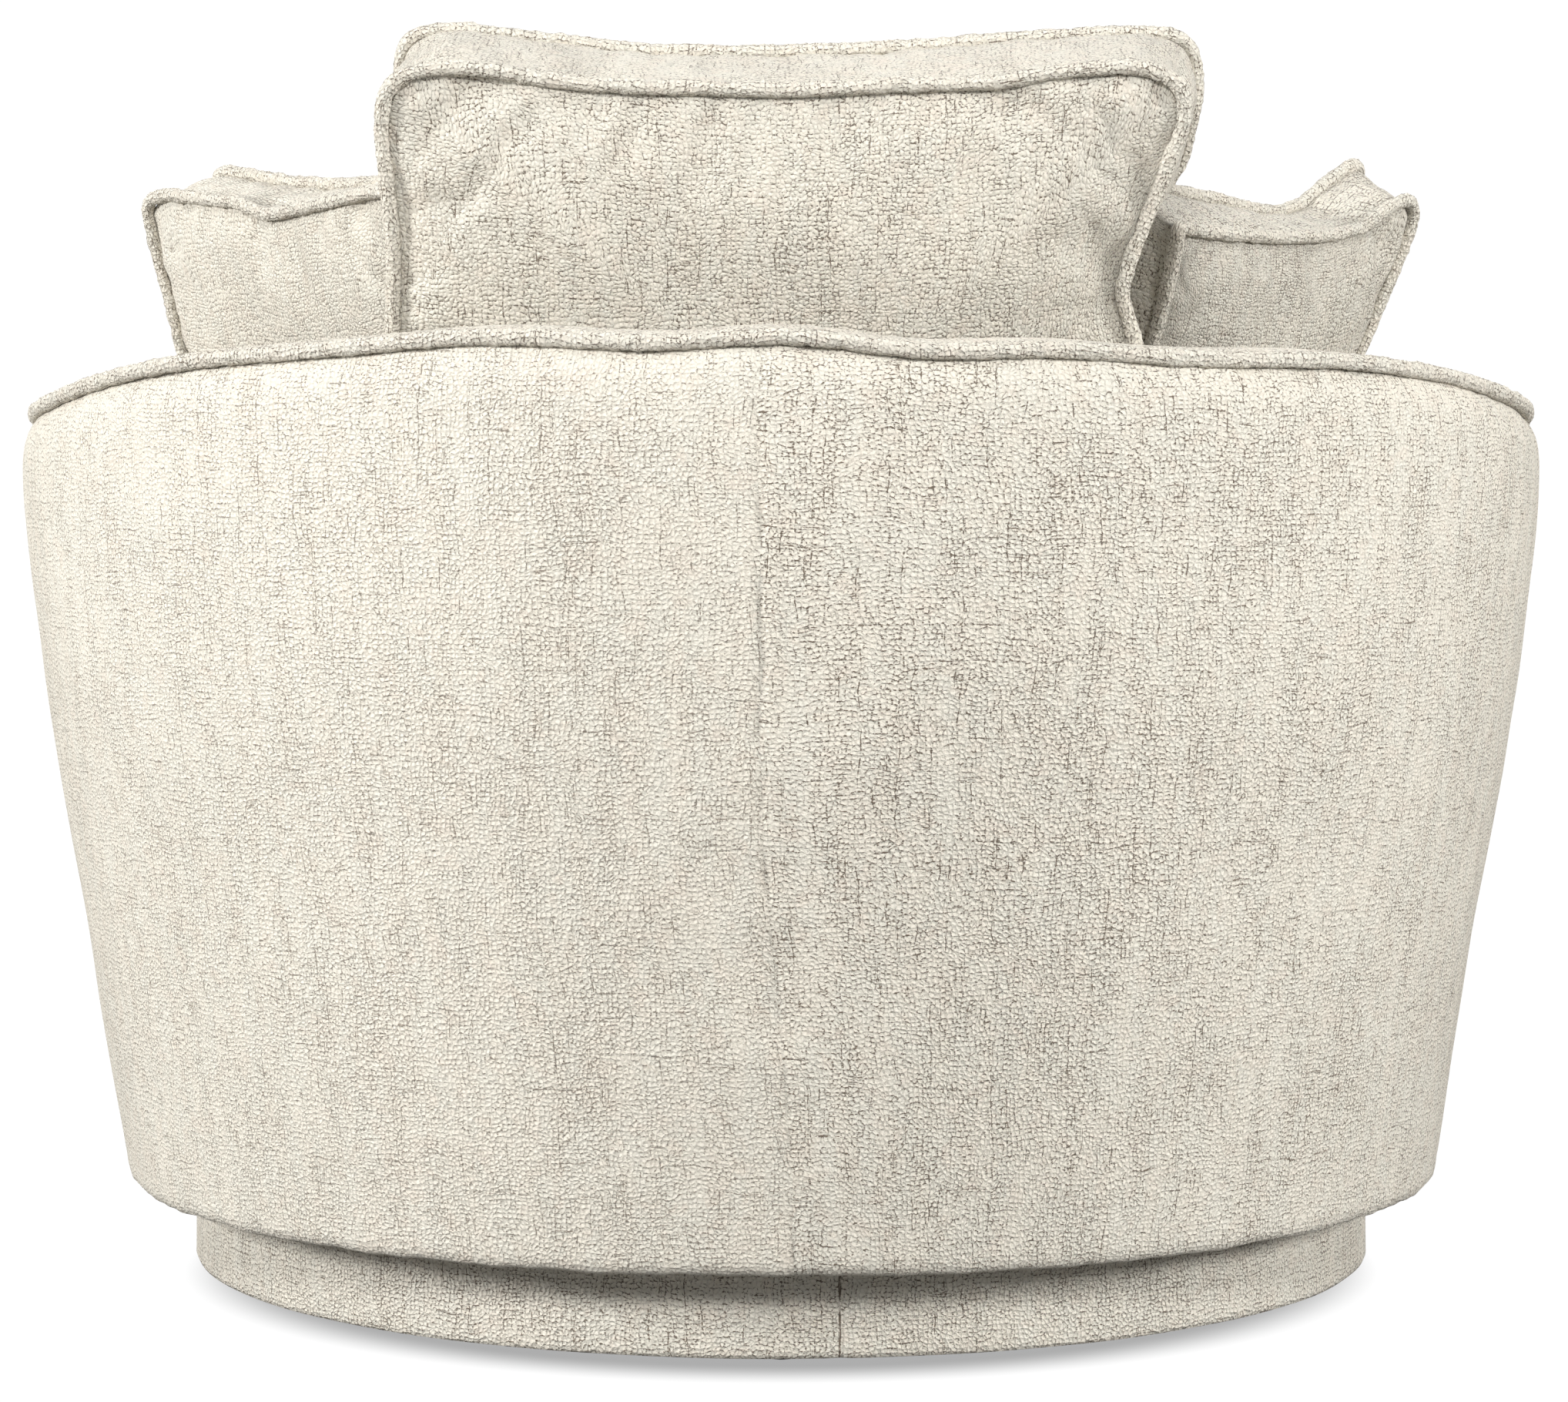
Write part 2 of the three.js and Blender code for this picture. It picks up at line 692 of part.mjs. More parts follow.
function addRibs() {
  for (let i = 0; i < ribCount; i++) {
    const angle = i * ribSpacing - outerRibAngle;
    const topOf = (radius) => railTopAt(radius, angle) - boardThickness - 2 * clearance - ribTiltDrop;
    const outerTop = topOf(ribOuterAt(rimSideHeight, angle));
    const bends = bendHeightsAt(angle);
    addRadialPanel(`back_rib_${i + 1}`, angle, [
      [ribFootRadius, frameBottom],
      ...[frameBottom, ...bends, outerTop].map((z) => [ribOuterAt(z, angle), z]),
      [railInner, topOf(railInner)],
      ...[ledgeHeight, ...bends].reverse().map((z) => [ribInnerAt(z, angle), z]),
      [ribFootRadius, ledgeHeight],
    ]);
  }
  const strutOuter = (height) => frontPanelInnerAt(height) - clearance - ribFacetDrop;
  for (const side of [-1, 0, 1]) {
    addRadialPanel(`front_strut_${side + 2}`, Math.PI + side * ribSpacing, [
      [ribFootRadius, frameBottom],
      [strutOuter(frameBottom), frameBottom],
      [strutOuter(ledgeHeight), ledgeHeight],
      [ribFootRadius, ledgeHeight],
    ]);
  }
}

function addTopRail() {
  const angles = anglesBetween(-railEndAngle, railEndAngle);
  const rail = loftRound(angles, (angle) => {
    const outer = ribOuterAt(railTopAt(tubRadius, angle), angle);
    const [outerTop, innerTop] = [railTopAt(outer, angle), railTopAt(railInner, angle)];
    return [
      [railInner, innerTop - boardThickness],
      [outer, outerTop - boardThickness],
      [outer, outerTop],
      [railInner, innerTop],
    ];
  });
  addPiece(tub, "top_rail", rail, ply);
}

function roundedSquare(side, corner) {
  const middle = side / 2 - corner;
  const stepsPerCorner = 5;
  const points = [];
  for (let quarter = 0; quarter < 4; quarter++) {
    const start = (quarter * Math.PI) / 2;
    const turnTo = (x, y) => new THREE.Vector2(x, y).rotateAround(new THREE.Vector2(), start);
    for (let i = 0; i <= stepsPerCorner; i++) {
      const angle = (i / stepsPerCorner) * (Math.PI / 2);
      points.push(turnTo(middle + corner * Math.cos(angle), middle + corner * Math.sin(angle)));
    }
  }
  return new THREE.Path(points);
}

function addSeatRing() {
  const frontRadius = frontPanelInnerAt(seatRingHeight) - clearance;
  const rearRadius = ribInnerAt(ledgeHeight, 0) - clearance;
  const frontStart = armStartAngle + roundStep / 4;
  const rear = anglesBetween(-armStartAngle, armStartAngle).map((angle) => atAngle(rearRadius, angle, 0));
  const frontAngles = anglesBetween(frontStart, fullTurn - frontStart);
  const front = frontAngles.map((angle) => atAngle(frontRadius, angle, 0));
  const shape = new THREE.Shape([...rear, ...front].map((p) => new THREE.Vector2(p.x, p.y)));
  shape.holes.push(roundedSquare(seatOpeningWidth, seatOpeningCornerRadius));
  const geometry = new THREE.ExtrudeGeometry(shape, { depth: seatRingThickness, bevelEnabled: false });
  geometry.translate(0, 0, seatRingHeight);
  addPiece(tub, "seat_ring", outwards(geometry), ply);
}

// Round wire or bead along a line of points. Each point has the direction that the section calls up.
function sweep(points, ups, sectionAt) {
  const outlines = points.map((point, i) => {
    const before = points[Math.max(i - 1, 0)];
    const after = points[Math.min(i + 1, points.length - 1)];
    const along = after.clone().sub(before).normalize();
    const across = along.clone().cross(ups[i]).normalize();
    const up = across.clone().cross(along).normalize();
    return sectionAt(i).map(([u, v]) => point.clone().addScaledVector(across, u).addScaledVector(up, v));
  });
  return loft(outlines, points.map((_, i) => sectionAt(i).map(([u, v]) => new THREE.Vector2(u, v))));
}

function roundSection(radius, sides) {
  return Array.from({ length: sides }, (_, i) => {
    const angle = ((i + 0.5) * fullTurn) / sides;
    return [radius * Math.cos(angle), radius * Math.sin(angle)];
  });
}

const springWaveShares = [[0.08, -1], [0.42, -1], [0.58, 1], [0.92, 1]];

// Zig-zag springs lie flat across the opening, with their ends on the ring.
function addSprings() {
  const length = seatOpeningWidth + 2 * springBearing;
  const pitch = length / springWaveCount;
  for (let i = 0; i < springCount; i++) {
    const points = [];
    for (let wave = 0; wave < springWaveCount; wave++) {
      for (const [along, across] of springWaveShares) {
        const y = -length / 2 + (wave + along) * pitch;
        points.push(new THREE.Vector3(across * springHalfWidth, y, springLevel));
      }
    }
    const ups = points.map(() => new THREE.Vector3(0, 0, 1));
    const wire = roundSection(springWireRadius, 4);
    const mesh = addPiece(tub, `zigzag_spring_${i + 1}`, sweep(points, ups, () => wire), steel);
    mesh.position.x = (i - (springCount - 1) / 2) * springSpacing;
  }
}

function addDeck() {
  const clothRadius = insideFacets(deckLipRadius);
  addPiece(tub, "spring_pad", turned(disc(padRadius, springTop + clearance, padTop)), felt);
  addPiece(tub, "seat_deck_cover", turned(disc(clothRadius, padTop + clearance, deckHeight)), cream);
}

// Panels, foam and covers of the tub

function addPanels() {
  const linerHeightsAt = (angle) => [frameBottom, ...bendHeightsAt(angle), railTopAt(tubRadius, angle)];
  const liner = sidePanel(anglesBetween(-railEndAngle, railEndAngle), linerHeightsAt, linerThickness);
  addPiece(tub, "outer_liner", liner, millboard);
  const panelEnd = railEndAngle + clearance / rimSeamRadius;
  const panelAngles = anglesBetween(panelEnd, fullTurn - panelEnd);
  const panel = sidePanel(panelAngles, () => [frameBottom, frontPanelTop], frontPanelThickness);
  addPiece(tub, "front_panel", panel, ply);
}

function addFoam() {
  const foamInset = skinThickness + clearance;
  const foamBottom = seatRingTop + clearance;
  const inner = pathPoints - 4;
  const wall = loftRound(anglesBetween(-railEndAngle, railEndAngle), (angle) => {
    const path = pathAt(angle, foamInset);
    const railTop = railTopAt(tubRadius, angle) + 2 * clearance;
    return [
      ...path.slice(seamPoint - 1, inner + 1),
      [path[inner][0], foamBottom],
      ...[foamBottom, ...bendHeightsAt(angle)].map((z) => [ribInnerAt(z, angle) - clearance, z]),
      [railInner - clearance, railTopAt(railInner, angle) + 2 * clearance],
      [outsideRadiusAt(railTop, angle) - linerInset, railTop],
    ];
  });
  addPiece(tub, "inner_wall_foam", wall, foam);

  const frontEnd = mix(armStartAngle, armEndAngle, armFrontShares[4]);
  const frontStart = armStartAngle + clearance / armMiddleRadius;
  for (const [name, side] of [["left", 1], ["right", -1]]) {
    const ends = [side * frontStart, side * frontEnd].sort((a, b) => a - b);
    const outlineAt = (angle) => pathAt(angle, foamInset).slice(footPoints, pathPoints - 2);
    const block = loftRound(anglesBetween(...ends), outlineAt);
    const below = cylinderAt(2 * tubRadius, foamBottom, 0, 0, 0);
    addPiece(tub, `arm_front_foam_${name}`, cut(block, below), foam);
  }
}

const allPoints = Array.from({ length: pathPoints }, (_, i) => i);
const outsidePoints = allPoints.slice(0, seamPoint + 1);
const insidePoints = allPoints.slice(seamPoint);
const borderPoints = [...allPoints.slice(0, seamPoint + 3), pathPoints - 1];

function addCovers() {
  const seam = clearance / rimSeamRadius;
  const trim = rimSeamGap / 2;
  const left = skin(anglesBetween(seam, coverEndAngle), outsidePoints, 0, trim);
  addPiece(tub, "outer_cover_left", left, cream);
  const right = skin(anglesBetween(-coverEndAngle, -seam), outsidePoints, 0, trim);
  addPiece(tub, "outer_cover_right", right, cream);
  const inner = skin(anglesBetween(-coverEndAngle, coverEndAngle), insidePoints, trim, 0);
  addPiece(tub, "inner_cover", inner, cream);
  const borderAngles = anglesBetween(coverEndAngle + seam, fullTurn - coverEndAngle - seam);
  addPiece(tub, "front_border_cover", skin(borderAngles, borderPoints, 0, 0), cream);
}

const rimBeadTurns = [-35, 15, 65, 115, 165, 215];
const pipingEndShare = 0.08;

// The piping's section: a bead, with a tongue that is sewn in between the covers.
function pipingSection(tongueEnd) {
  const half = rimTongueThickness / 2;
  const centre = rimBeadRadius + clearance;
  const bead = rimBeadTurns.map((turn) => [
    rimBeadRadius * Math.cos(turn * degree),
    centre + rimBeadRadius * Math.sin(turn * degree),
  ]);
  return [[half, tongueEnd], [half, clearance + half], ...bead, [-half, clearance + half], [-half, tongueEnd]];
}

function seamPointAt(angle) {
  const [radius, height] = pathAt(angle, 0)[seamPoint];
  return atAngle(radius, angle, height);
}

function addRimPiping() {
  const end = mix(armStartAngle, armEndAngle, armFrontShares[6]);
  const angles = anglesBetween(-end, end);
  const points = angles.map(seamPointAt);
  const ups = angles.map((angle, i) => {
    const path = pathAt(angle, 0);
    const [before, after] = [path[seamPoint - 1], path[seamPoint + 1]];
    const over = atAngle(after[0], angle, after[1]).sub(atAngle(before[0], angle, before[1]));
    const along = points[Math.min(i + 1, points.length - 1)].clone().sub(points[Math.max(i - 1, 0)]);
    return over.cross(along).normalize();
  });
  points[0].lerp(points[1], pipingEndShare);
  points[points.length - 1].lerp(points[points.length - 2], pipingEndShare);
  const tongueEndAt = (angle) => (Math.abs(angle) > railEndAngle - roundStep / 4 ? clearance / 2 : -rimTongueDepth);
  const sectionAt = (i) => pipingSection(tongueEndAt(angles[i]));
  addPiece(tub, "rim_piping", sweep(points, ups, sectionAt), creamSeam);
}

// Cushions. A cushion is boxed: two faces, a border between them, and a bead on both seams.
// Its outline lies in the X-Z plane and its thickness along Y.

const outlinePower = 14;

// The turns round a square outline that give the wanted places along each half side, and its corner.
function squareTurns(sideShares, cornerTurns) {
  const along = sideShares.map((share) => Math.asin(Math.pow(share, outlinePower / 2)));
  const corner = cornerTurns.map((turn) => turn * degree);
  const back = along.slice(1).map((turn) => Math.PI / 2 - turn).reverse();
  const quarter = [...along, ...corner, ...back];
  return [0, 1, 2, 3].flatMap((i) => quarter.map((turn) => turn + (i * Math.PI) / 2));
}

const coverTurns = squareTurns([0, 0.45, 0.8], [30, 60]);
const coreTurns = squareTurns([0, 0.8], [45]);

// A square with round corners and drawn-in sides, whose widest points lie near the corners.
function squareOutline(width, height) {
  const bend = (turn) => {
    const [c, s] = [Math.cos(turn), Math.sin(turn)];
    const [x, z] = [c, s].map((v) => Math.sign(v) * Math.pow(Math.abs(v), 2 / outlinePower));
    return [x * (1 - drawInShare * (1 - z * z)), z * (1 - drawInShare * (1 - x * x))];
  };
  const widest = Math.max(...coverTurns.map((turn) => bend(turn)[0]));
  return (turn) => {
    const [x, z] = bend(turn);
    return [(x * width) / 2 / widest, (z * height) / 2 / widest];
  };
}

const faceShares = [0.4, 0.7, 0.88];
const insideFaceShares = [0.6];
const crownPower = 2.2;
const crownAt = (share, crown, power = crownPower) => crown * (1 - Math.pow(share, power));
const beadTurns = [100, 30, -40];

// Rings from one face's middle to the other's: the share of the outline, a step outwards, the depth.
function boxedRings(halfBorder, crowns, power, bead, inset) {
  const shares = bead ? faceShares : insideFaceShares;
  const face = (side) =>
    shares.map((share) => [share, -inset, side * (halfBorder - inset + crownAt(share, crowns[side], power))]);
  const edge = (side) => {
    if (!bead) return [[1, -inset, side * (halfBorder - inset)]];
    return beadTurns.map((turn) => [
      1,
      -bead + bead * Math.cos(turn * degree),
      side * (halfBorder - bead + bead * Math.sin(turn * degree)),
    ]);
  };
  const border = bead ? [[1, -bead / 2, 0]] : [];
  return [
    [0, 0, halfBorder - inset + crowns[1]],
    ...face(1),
    ...edge(1),
    ...border,
    ...edge(-1).reverse(),
    ...face(-1).reverse(),
    [0, 0, -(halfBorder - inset + crowns[-1])],
  ];
}

function ringedBody(outlineAt, turns, rings) {
  const points = [];
  const faces = [];
  const count = turns.length;
  for (const [share, step, depth] of rings.slice(1, -1)) {
    for (const turn of turns) {
      const [x, z] = outlineAt(turn);
      const reach = Math.hypot(x, z);
      const scale = (share * (reach + step)) / reach;
      points.push(new THREE.Vector3(x * scale, depth, z * scale));
    }
  }
  const ringCount = rings.length - 2;
  for (let ring = 0; ring < ringCount - 1; ring++) {
    for (let i = 0; i < count; i++) {
      const n = (i + 1) % count;
      const [a, b, c, d] = [ring * count + i, ring * count + n, (ring + 1) * count + n, (ring + 1) * count + i];
      faces.push([a, b, c], [a, c, d]);
    }
  }
  const first = points.push(new THREE.Vector3(0, rings[0][2], 0)) - 1;
  const last = points.push(new THREE.Vector3(0, rings[rings.length - 1][2], 0)) - 1;
  for (let i = 0; i < count; i++) {
    const n = (i + 1) % count;
    const end = (ringCount - 1) * count;
    faces.push([first, n, i], [last, end + i, end + n]);
  }
  return bodyGeometry(points, faces);
}

// A sewn cover with a zip opening in its border, and the filling inside it.
function addCushion(group, name, filling, material, form) {
  const { outlineAt, turns, insideTurns, halfBorder, crowns, power, zipLength, zipReach } = form;
  const outer = ringedBody(outlineAt, turns, boxedRings(halfBorder, crowns, power, cushionBeadRadius, 0));
  const inside = (inset) => ringedBody(outlineAt, insideTurns, boxedRings(halfBorder, crowns, power, 0, inset));
  const zip = new THREE.BoxGeometry(zipLength, zipWidth, 2 * (coverThickness + cutOverrun));
  zip.translate(0, 0, zipReach);
  const cover = addPiece(group, `${name}_cover`, cut(outer, inside(coverThickness), zip), cream);
  addPiece(group, `${name}_${filling}`, inside(coverThickness + clearance), material);
  return cover;
}

const zipShare = 0.6;

function squareForm(width, height, thickness, crowns) {
  return {
    outlineAt: squareOutline(width, height),
    turns: coverTurns,
    insideTurns: coreTurns,
    halfBorder: thickness / 2,
    crowns,
    power: crownPower,
    zipLength: width * zipShare,
    zipReach: (height / 2) * (drawInShare - 1),
  };
}

// The seat cushion fills the round well, and widens in front of the arms.
function seatRadiusAt(angle) {
  const share = (angle - seatNeckAngle) / (seatShoulderAngle - seatNeckAngle);
  const eased = THREE.MathUtils.smoothstep(share, 0, 1);
  const beyond = Math.max((angle - seatShoulderAngle) / (Math.PI - seatShoulderAngle), 0);
  const front = mix(seatShoulderRadius, seatFrontRadius, Math.sin((beyond * Math.PI) / 2));
  return mix(seatRadius, front, eased);
}

const seatOutline = (turn) => {
  const radius = seatRadiusAt(Math.PI - Math.abs(turn - Math.PI));
  return [radius * Math.sin(turn), radius * Math.cos(turn)];
};

const seatRearCount = 9;
const seatNeckCount = 4;
const seatFrontCount = 4;

function seatTurns() {
  const stretch = (start, end, count) => Array.from({ length: count }, (_, i) => mix(start, end, i / count));
  const half = [
    ...stretch(0, seatNeckAngle, seatRearCount),
    ...stretch(seatNeckAngle, seatShoulderAngle, seatNeckCount),
    ...stretch(seatShoulderAngle, Math.PI, seatFrontCount),
    Math.PI,
  ];
  const back = half.slice(1, -1).map((turn) => fullTurn - turn).reverse();
  return [...half, ...back];
}

const seatTop = seatBottom + seatSideThickness;

function addSeatCushion() {
  const group = new THREE.Group();
  group.position.z = seatBottom + seatSideThickness / 2;
  group.rotation.x = -Math.PI / 2;
  chair.add(group);
  addCushion(group, "seat_cushion", "core", foam, {
    outlineAt: seatOutline,
    turns: seatTurns(),
    insideTurns: seatTurns(),
    halfBorder: seatSideThickness / 2,
    crowns: { 1: 0, [-1]: seatCrown },
    power: seatCrownPower,
    zipLength: seatRadius * zipShare,
    zipReach: seatRadius,
  });
}

// The height of the seat cushion's top at a place, along its facets.
function seatTopAt(x, y) {
  const share = Math.hypot(x, y) / seatRadiusAt(Math.abs(Math.atan2(x, y)));
  const knots = [0, ...faceShares, 1];
  const next = Math.max(knots.findIndex((knot) => knot >= share), 1);
  const part = (share - knots[next - 1]) / (knots[next] - knots[next - 1]);
  const [inner, outer] = [knots[next - 1], knots[next]].map((knot) => crownAt(knot, seatCrown, seatCrownPower));
  return share > 1 ? 0 : seatTop + mix(inner, outer, part);
}

const edgeShares = [0, 0.2, 0.4, 0.6, 0.8];

// Lowers or lifts a group until its cover just clears the seat cushion.
function setDown(group, cover) {
  group.updateMatrixWorld(true);
  const { index, attributes } = cover.geometry;
  const pointAt = (i) => new THREE.Vector3().fromBufferAttribute(attributes.position, index.getX(i));
  let least = Infinity;
  for (let i = 0; i < index.count; i++) {
    const [start, end] = [pointAt(i), pointAt(i % 3 === 2 ? i - 2 : i + 1)];
    for (const share of edgeShares) {
      const point = start.clone().lerp(end, share).applyMatrix4(cover.matrixWorld);
      least = Math.min(least, point.z - seatTopAt(point.x, point.y));
    }
  }
  group.position.z += clearance - least;
}

// Where a leaning cushion's back face touches the round wall at a height, for a corner so far aside.
const chordReach = (radius, aside) => Math.sqrt(radius ** 2 - aside ** 2);

const backSeamAtRim = chordReach(innerRimRadius - backWallGap, backWidth / 2 + backAside);

// The back cushion's seams and its front, as distances along Y at a height.
const backRearAt = (height) => backSeamAtRim + (height - rimSideHeight) * Math.tan(backLean);
const backFrontAt = (height) => backRearAt(height) - (backThickness + backFootSwell) / Math.cos(backLean);

function addBackCushion() {
  const group = new THREE.Group();
  const rise = (backHeight / 2) * Math.cos(backLean) + (backThickness / 2) * Math.sin(backLean);
  const height = seatTop + rise;
  const middleY = backRearAt(height) - backThickness / 2 / Math.cos(backLean);
  group.position.set(-backAside, middleY, height);
  group.rotation.x = -backLean;
  chair.add(group);
  const crowns = { 1: backRearCrown, [-1]: backFrontCrown };
  const form = squareForm(backWidth, backHeight, backThickness, crowns);
  setDown(group, addCushion(group, "back_cushion", "filling", fibre, form));
}

// The scatter cushions lean on the arms. Their near edges stay in front of the back cushion.
function scatterPlace() {
  const lean = Math.tan(scatterLean);
  const contact = rimSideHeight - shoulderDrop;
  const foot = seatTop + seatCrown;
  let forward = 0;
  let reach = 0;
  for (let i = 0; i < placeRounds; i++) {
    reach = chordReach(innerRimRadius - scatterWallGap, forward + scatterWidth / 2);
    const footReach = reach - (contact - foot) * lean;
    const near = (footReach * Math.cos(scatterTurn) - backFrontAt(foot) + scatterBackGap) / Math.sin(scatterTurn);
    forward = mix(forward, near + scatterWidth / 2, placeShare);
  }
  return { forward, reachAt: (height) => reach + (height - contact) * lean };
}

function addScatterCushions() {
  const { forward, reachAt } = scatterPlace();
  const height = seatTop + (scatterHeight / 2) * Math.cos(scatterLean);
  const reach = reachAt(height) - scatterThickness / 2 / Math.cos(scatterLean);
  const [out, on] = [Math.sin(scatterTurn), Math.cos(scatterTurn)];
  for (const [side, mirror] of [["left", 1], ["right", -1]]) {
    const group = new THREE.Group();
    group.position.set(mirror * (reach * out + forward * on), reach * on - forward * out, height);
    group.rotation.set(-scatterLean, 0, -mirror * scatterTurn, "ZXY");
    chair.add(group);
    const crowns = { 1: scatterCrown, [-1]: scatterCrown };
    const form = squareForm(scatterWidth, scatterHeight, scatterThickness, crowns);
    setDown(group, addCushion(group, `scatter_cushion_${side}`, "filling", fibre, form));
  }
}

addPlinth();
addBearing();
addChassis();
addRibs();
addTopRail();
addSeatRing();
addSprings();
addDeck();
addPanels();
addFoam();
addCovers();
addRimPiping();
addSeatCushion();
addBackCushion();
addScatterCushions();

export default chair;
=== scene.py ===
import itertools
import json
import math

import bpy
import numpy as np
from mathutils import Matrix, Vector, noise


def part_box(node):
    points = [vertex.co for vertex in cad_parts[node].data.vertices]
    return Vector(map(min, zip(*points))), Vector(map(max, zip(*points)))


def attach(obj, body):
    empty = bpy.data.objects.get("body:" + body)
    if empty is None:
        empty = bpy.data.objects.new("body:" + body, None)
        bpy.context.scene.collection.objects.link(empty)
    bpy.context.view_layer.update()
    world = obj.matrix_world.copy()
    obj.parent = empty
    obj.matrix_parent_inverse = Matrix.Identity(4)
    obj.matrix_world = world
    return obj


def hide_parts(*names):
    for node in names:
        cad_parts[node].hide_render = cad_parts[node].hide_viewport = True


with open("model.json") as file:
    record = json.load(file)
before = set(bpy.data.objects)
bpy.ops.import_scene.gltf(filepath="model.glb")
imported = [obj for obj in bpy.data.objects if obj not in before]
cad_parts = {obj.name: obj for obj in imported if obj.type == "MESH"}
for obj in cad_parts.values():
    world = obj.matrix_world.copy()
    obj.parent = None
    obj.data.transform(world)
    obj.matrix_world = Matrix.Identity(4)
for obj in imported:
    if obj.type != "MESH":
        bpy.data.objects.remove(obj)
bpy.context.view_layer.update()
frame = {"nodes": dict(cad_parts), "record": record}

MM = 0.001

# Tub outline, as the CAD has it
TUB_RADIUS = 0.5965
RIM_RADIUS = 0.585
RIM_SIDE_HEIGHT = 0.655
RIM_REAR_RISE = 0.056
SHOULDER_DROP = 0.063
CREST_RISE = 0.011
INNER_RIM_RADIUS = 0.486
INNER_DECK_RADIUS = 0.458
DECK_HEIGHT = 0.285
DECK_LIP_RADIUS = 0.415
DECK_CORNER = 0.008
FRONT_EDGE = 0.020
LIP_RADIUS = 0.462
BOTTOM_RADIUS = 0.500
BOTTOM_HEIGHT = 0.067
FOOT_RADIUS = 0.523
FOOT_HEIGHT = 0.086
DECK_RADIUS = 0.554
ARM_FRONT_LENGTH = 0.066
ARM_FRONT_POWER = 2.6
SEAM_POINT = 9
PATH_POINTS = 20
ARM_MIDDLE_RADIUS = (RIM_RADIUS + INNER_RIM_RADIUS) / 2
ARM_START = math.radians(108) + 0.0181 / ARM_MIDDLE_RADIUS
ARM_END = ARM_START + ARM_FRONT_LENGTH / ARM_MIDDLE_RADIUS
COVER_END = ARM_END + 0.014 / ARM_MIDDLE_RADIUS

INNER_TOP_DROP = 0.050
INNER_HOLLOW = 0.004

# Shares of the steps between the outline's main points
FOOT_CORNER_SHARES = (0.84, 0.2)
WALL_SHARES = (0.1, 0.6)
SHOULDER_SHARES = (0.15, 0.65)
CREST_SHARES = ((0.14, 0.65), (0.4, 1), (0.7, 0.55))
INNER_TOP_SHARES = (0.9, 0.24)
INNER_WALL_SHARE = 0.45
DECK_CORNER_SHARE = 0.3
FRONT_WALL_SHARES = (0.35, 0.6, 0.8, 0.9)
FRONT_EDGE_SHARES = ((0.35, 0.3), (0.9, 0.03))

# How the rim piping rises and falls: pairs of an angle in degrees and a rise in mm
RIM_WAVE = [
    (-118, 0), (-80, 0), (-68, -1.5), (-59, 1), (-50, 2), (-42, 1.5), (-34, -4), (-28, -8), (-22, -5.5),
    (-16, -5), (-11, -10.5), (-7, -9.5), (-3, 0), (0, 3.5), (5, -4), (10, -4.5), (14, 0), (19, 5), (27, 3),
    (33, 1.5), (44, 3.5), (52, 2.5), (60, -1), (71, -4), (80, 0), (118, 0),
]
RIM_WAVE_STEP = math.radians(2)


def mix(a, b, share):
    return a + (b - a) * share


def from_table(value, table):
    """A value read from a table of pairs, straight between them."""
    places, values = zip(*table)
    return float(np.interp(value, places, values))


def rim_wave(angle):
    return MM * from_table(math.degrees(angle), RIM_WAVE)


def smooth_rim_wave(angle):
    return sum(rim_wave(angle + k * RIM_WAVE_STEP) for k in (-2, -1, 0, 1, 2)) / 5


def side_radius(height):
    return mix(FOOT_RADIUS, DECK_RADIUS, (height - FOOT_HEIGHT) / (DECK_HEIGHT - FOOT_HEIGHT))


def foot_path():
    rise = FOOT_HEIGHT - BOTTOM_HEIGHT
    out = FOOT_RADIUS - BOTTOM_RADIUS
    across, up = FOOT_CORNER_SHARES
    straight = FOOT_HEIGHT + rise
    return [
        (LIP_RADIUS, BOTTOM_HEIGHT),
        (BOTTOM_RADIUS, BOTTOM_HEIGHT),
        (BOTTOM_RADIUS + out * across, BOTTOM_HEIGHT + rise * up),
        (FOOT_RADIUS, FOOT_HEIGHT),
        (side_radius(straight), straight),
    ]


def wall_path(angle):
    rim = RIM_SIDE_HEIGHT + RIM_REAR_RISE * math.cos(angle)
    shoulder = rim - SHOULDER_DROP
    rim += smooth_rim_wave(angle)
    inner_top = rim - INNER_TOP_DROP
    inner_foot = DECK_HEIGHT + DECK_CORNER
    width = RIM_RADIUS - INNER_RIM_RADIUS
    path = foot_path()
    for share in WALL_SHARES:
        height = mix(DECK_HEIGHT, shoulder, share)
        path.append((min(side_radius(height), TUB_RADIUS), height))
    path.append((TUB_RADIUS, shoulder))
    across, up = SHOULDER_SHARES
    path.append((mix(TUB_RADIUS, RIM_RADIUS, across), mix(shoulder, rim, up)))
    path.append((RIM_RADIUS, rim))
    for across, up in CREST_SHARES:
        path.append((RIM_RADIUS - width * across, rim + CREST_RISE * up))
    across, down = INNER_TOP_SHARES
    path.append((RIM_RADIUS - width * across, rim - INNER_TOP_DROP * down))
    path.append((INNER_RIM_RADIUS, inner_top))
    hollow = mix(INNER_RIM_RADIUS, INNER_DECK_RADIUS, INNER_WALL_SHARE) - INNER_HOLLOW
    path.append((hollow, mix(inner_top, inner_foot, INNER_WALL_SHARE)))
    path.append((INNER_DECK_RADIUS, inner_foot))
    turned = DECK_CORNER * DECK_CORNER_SHARE
    path.append((INNER_DECK_RADIUS - turned, DECK_HEIGHT + turned))
    path.append((INNER_DECK_RADIUS - DECK_CORNER, DECK_HEIGHT))
    path.append((DECK_LIP_RADIUS, DECK_HEIGHT))
    return path


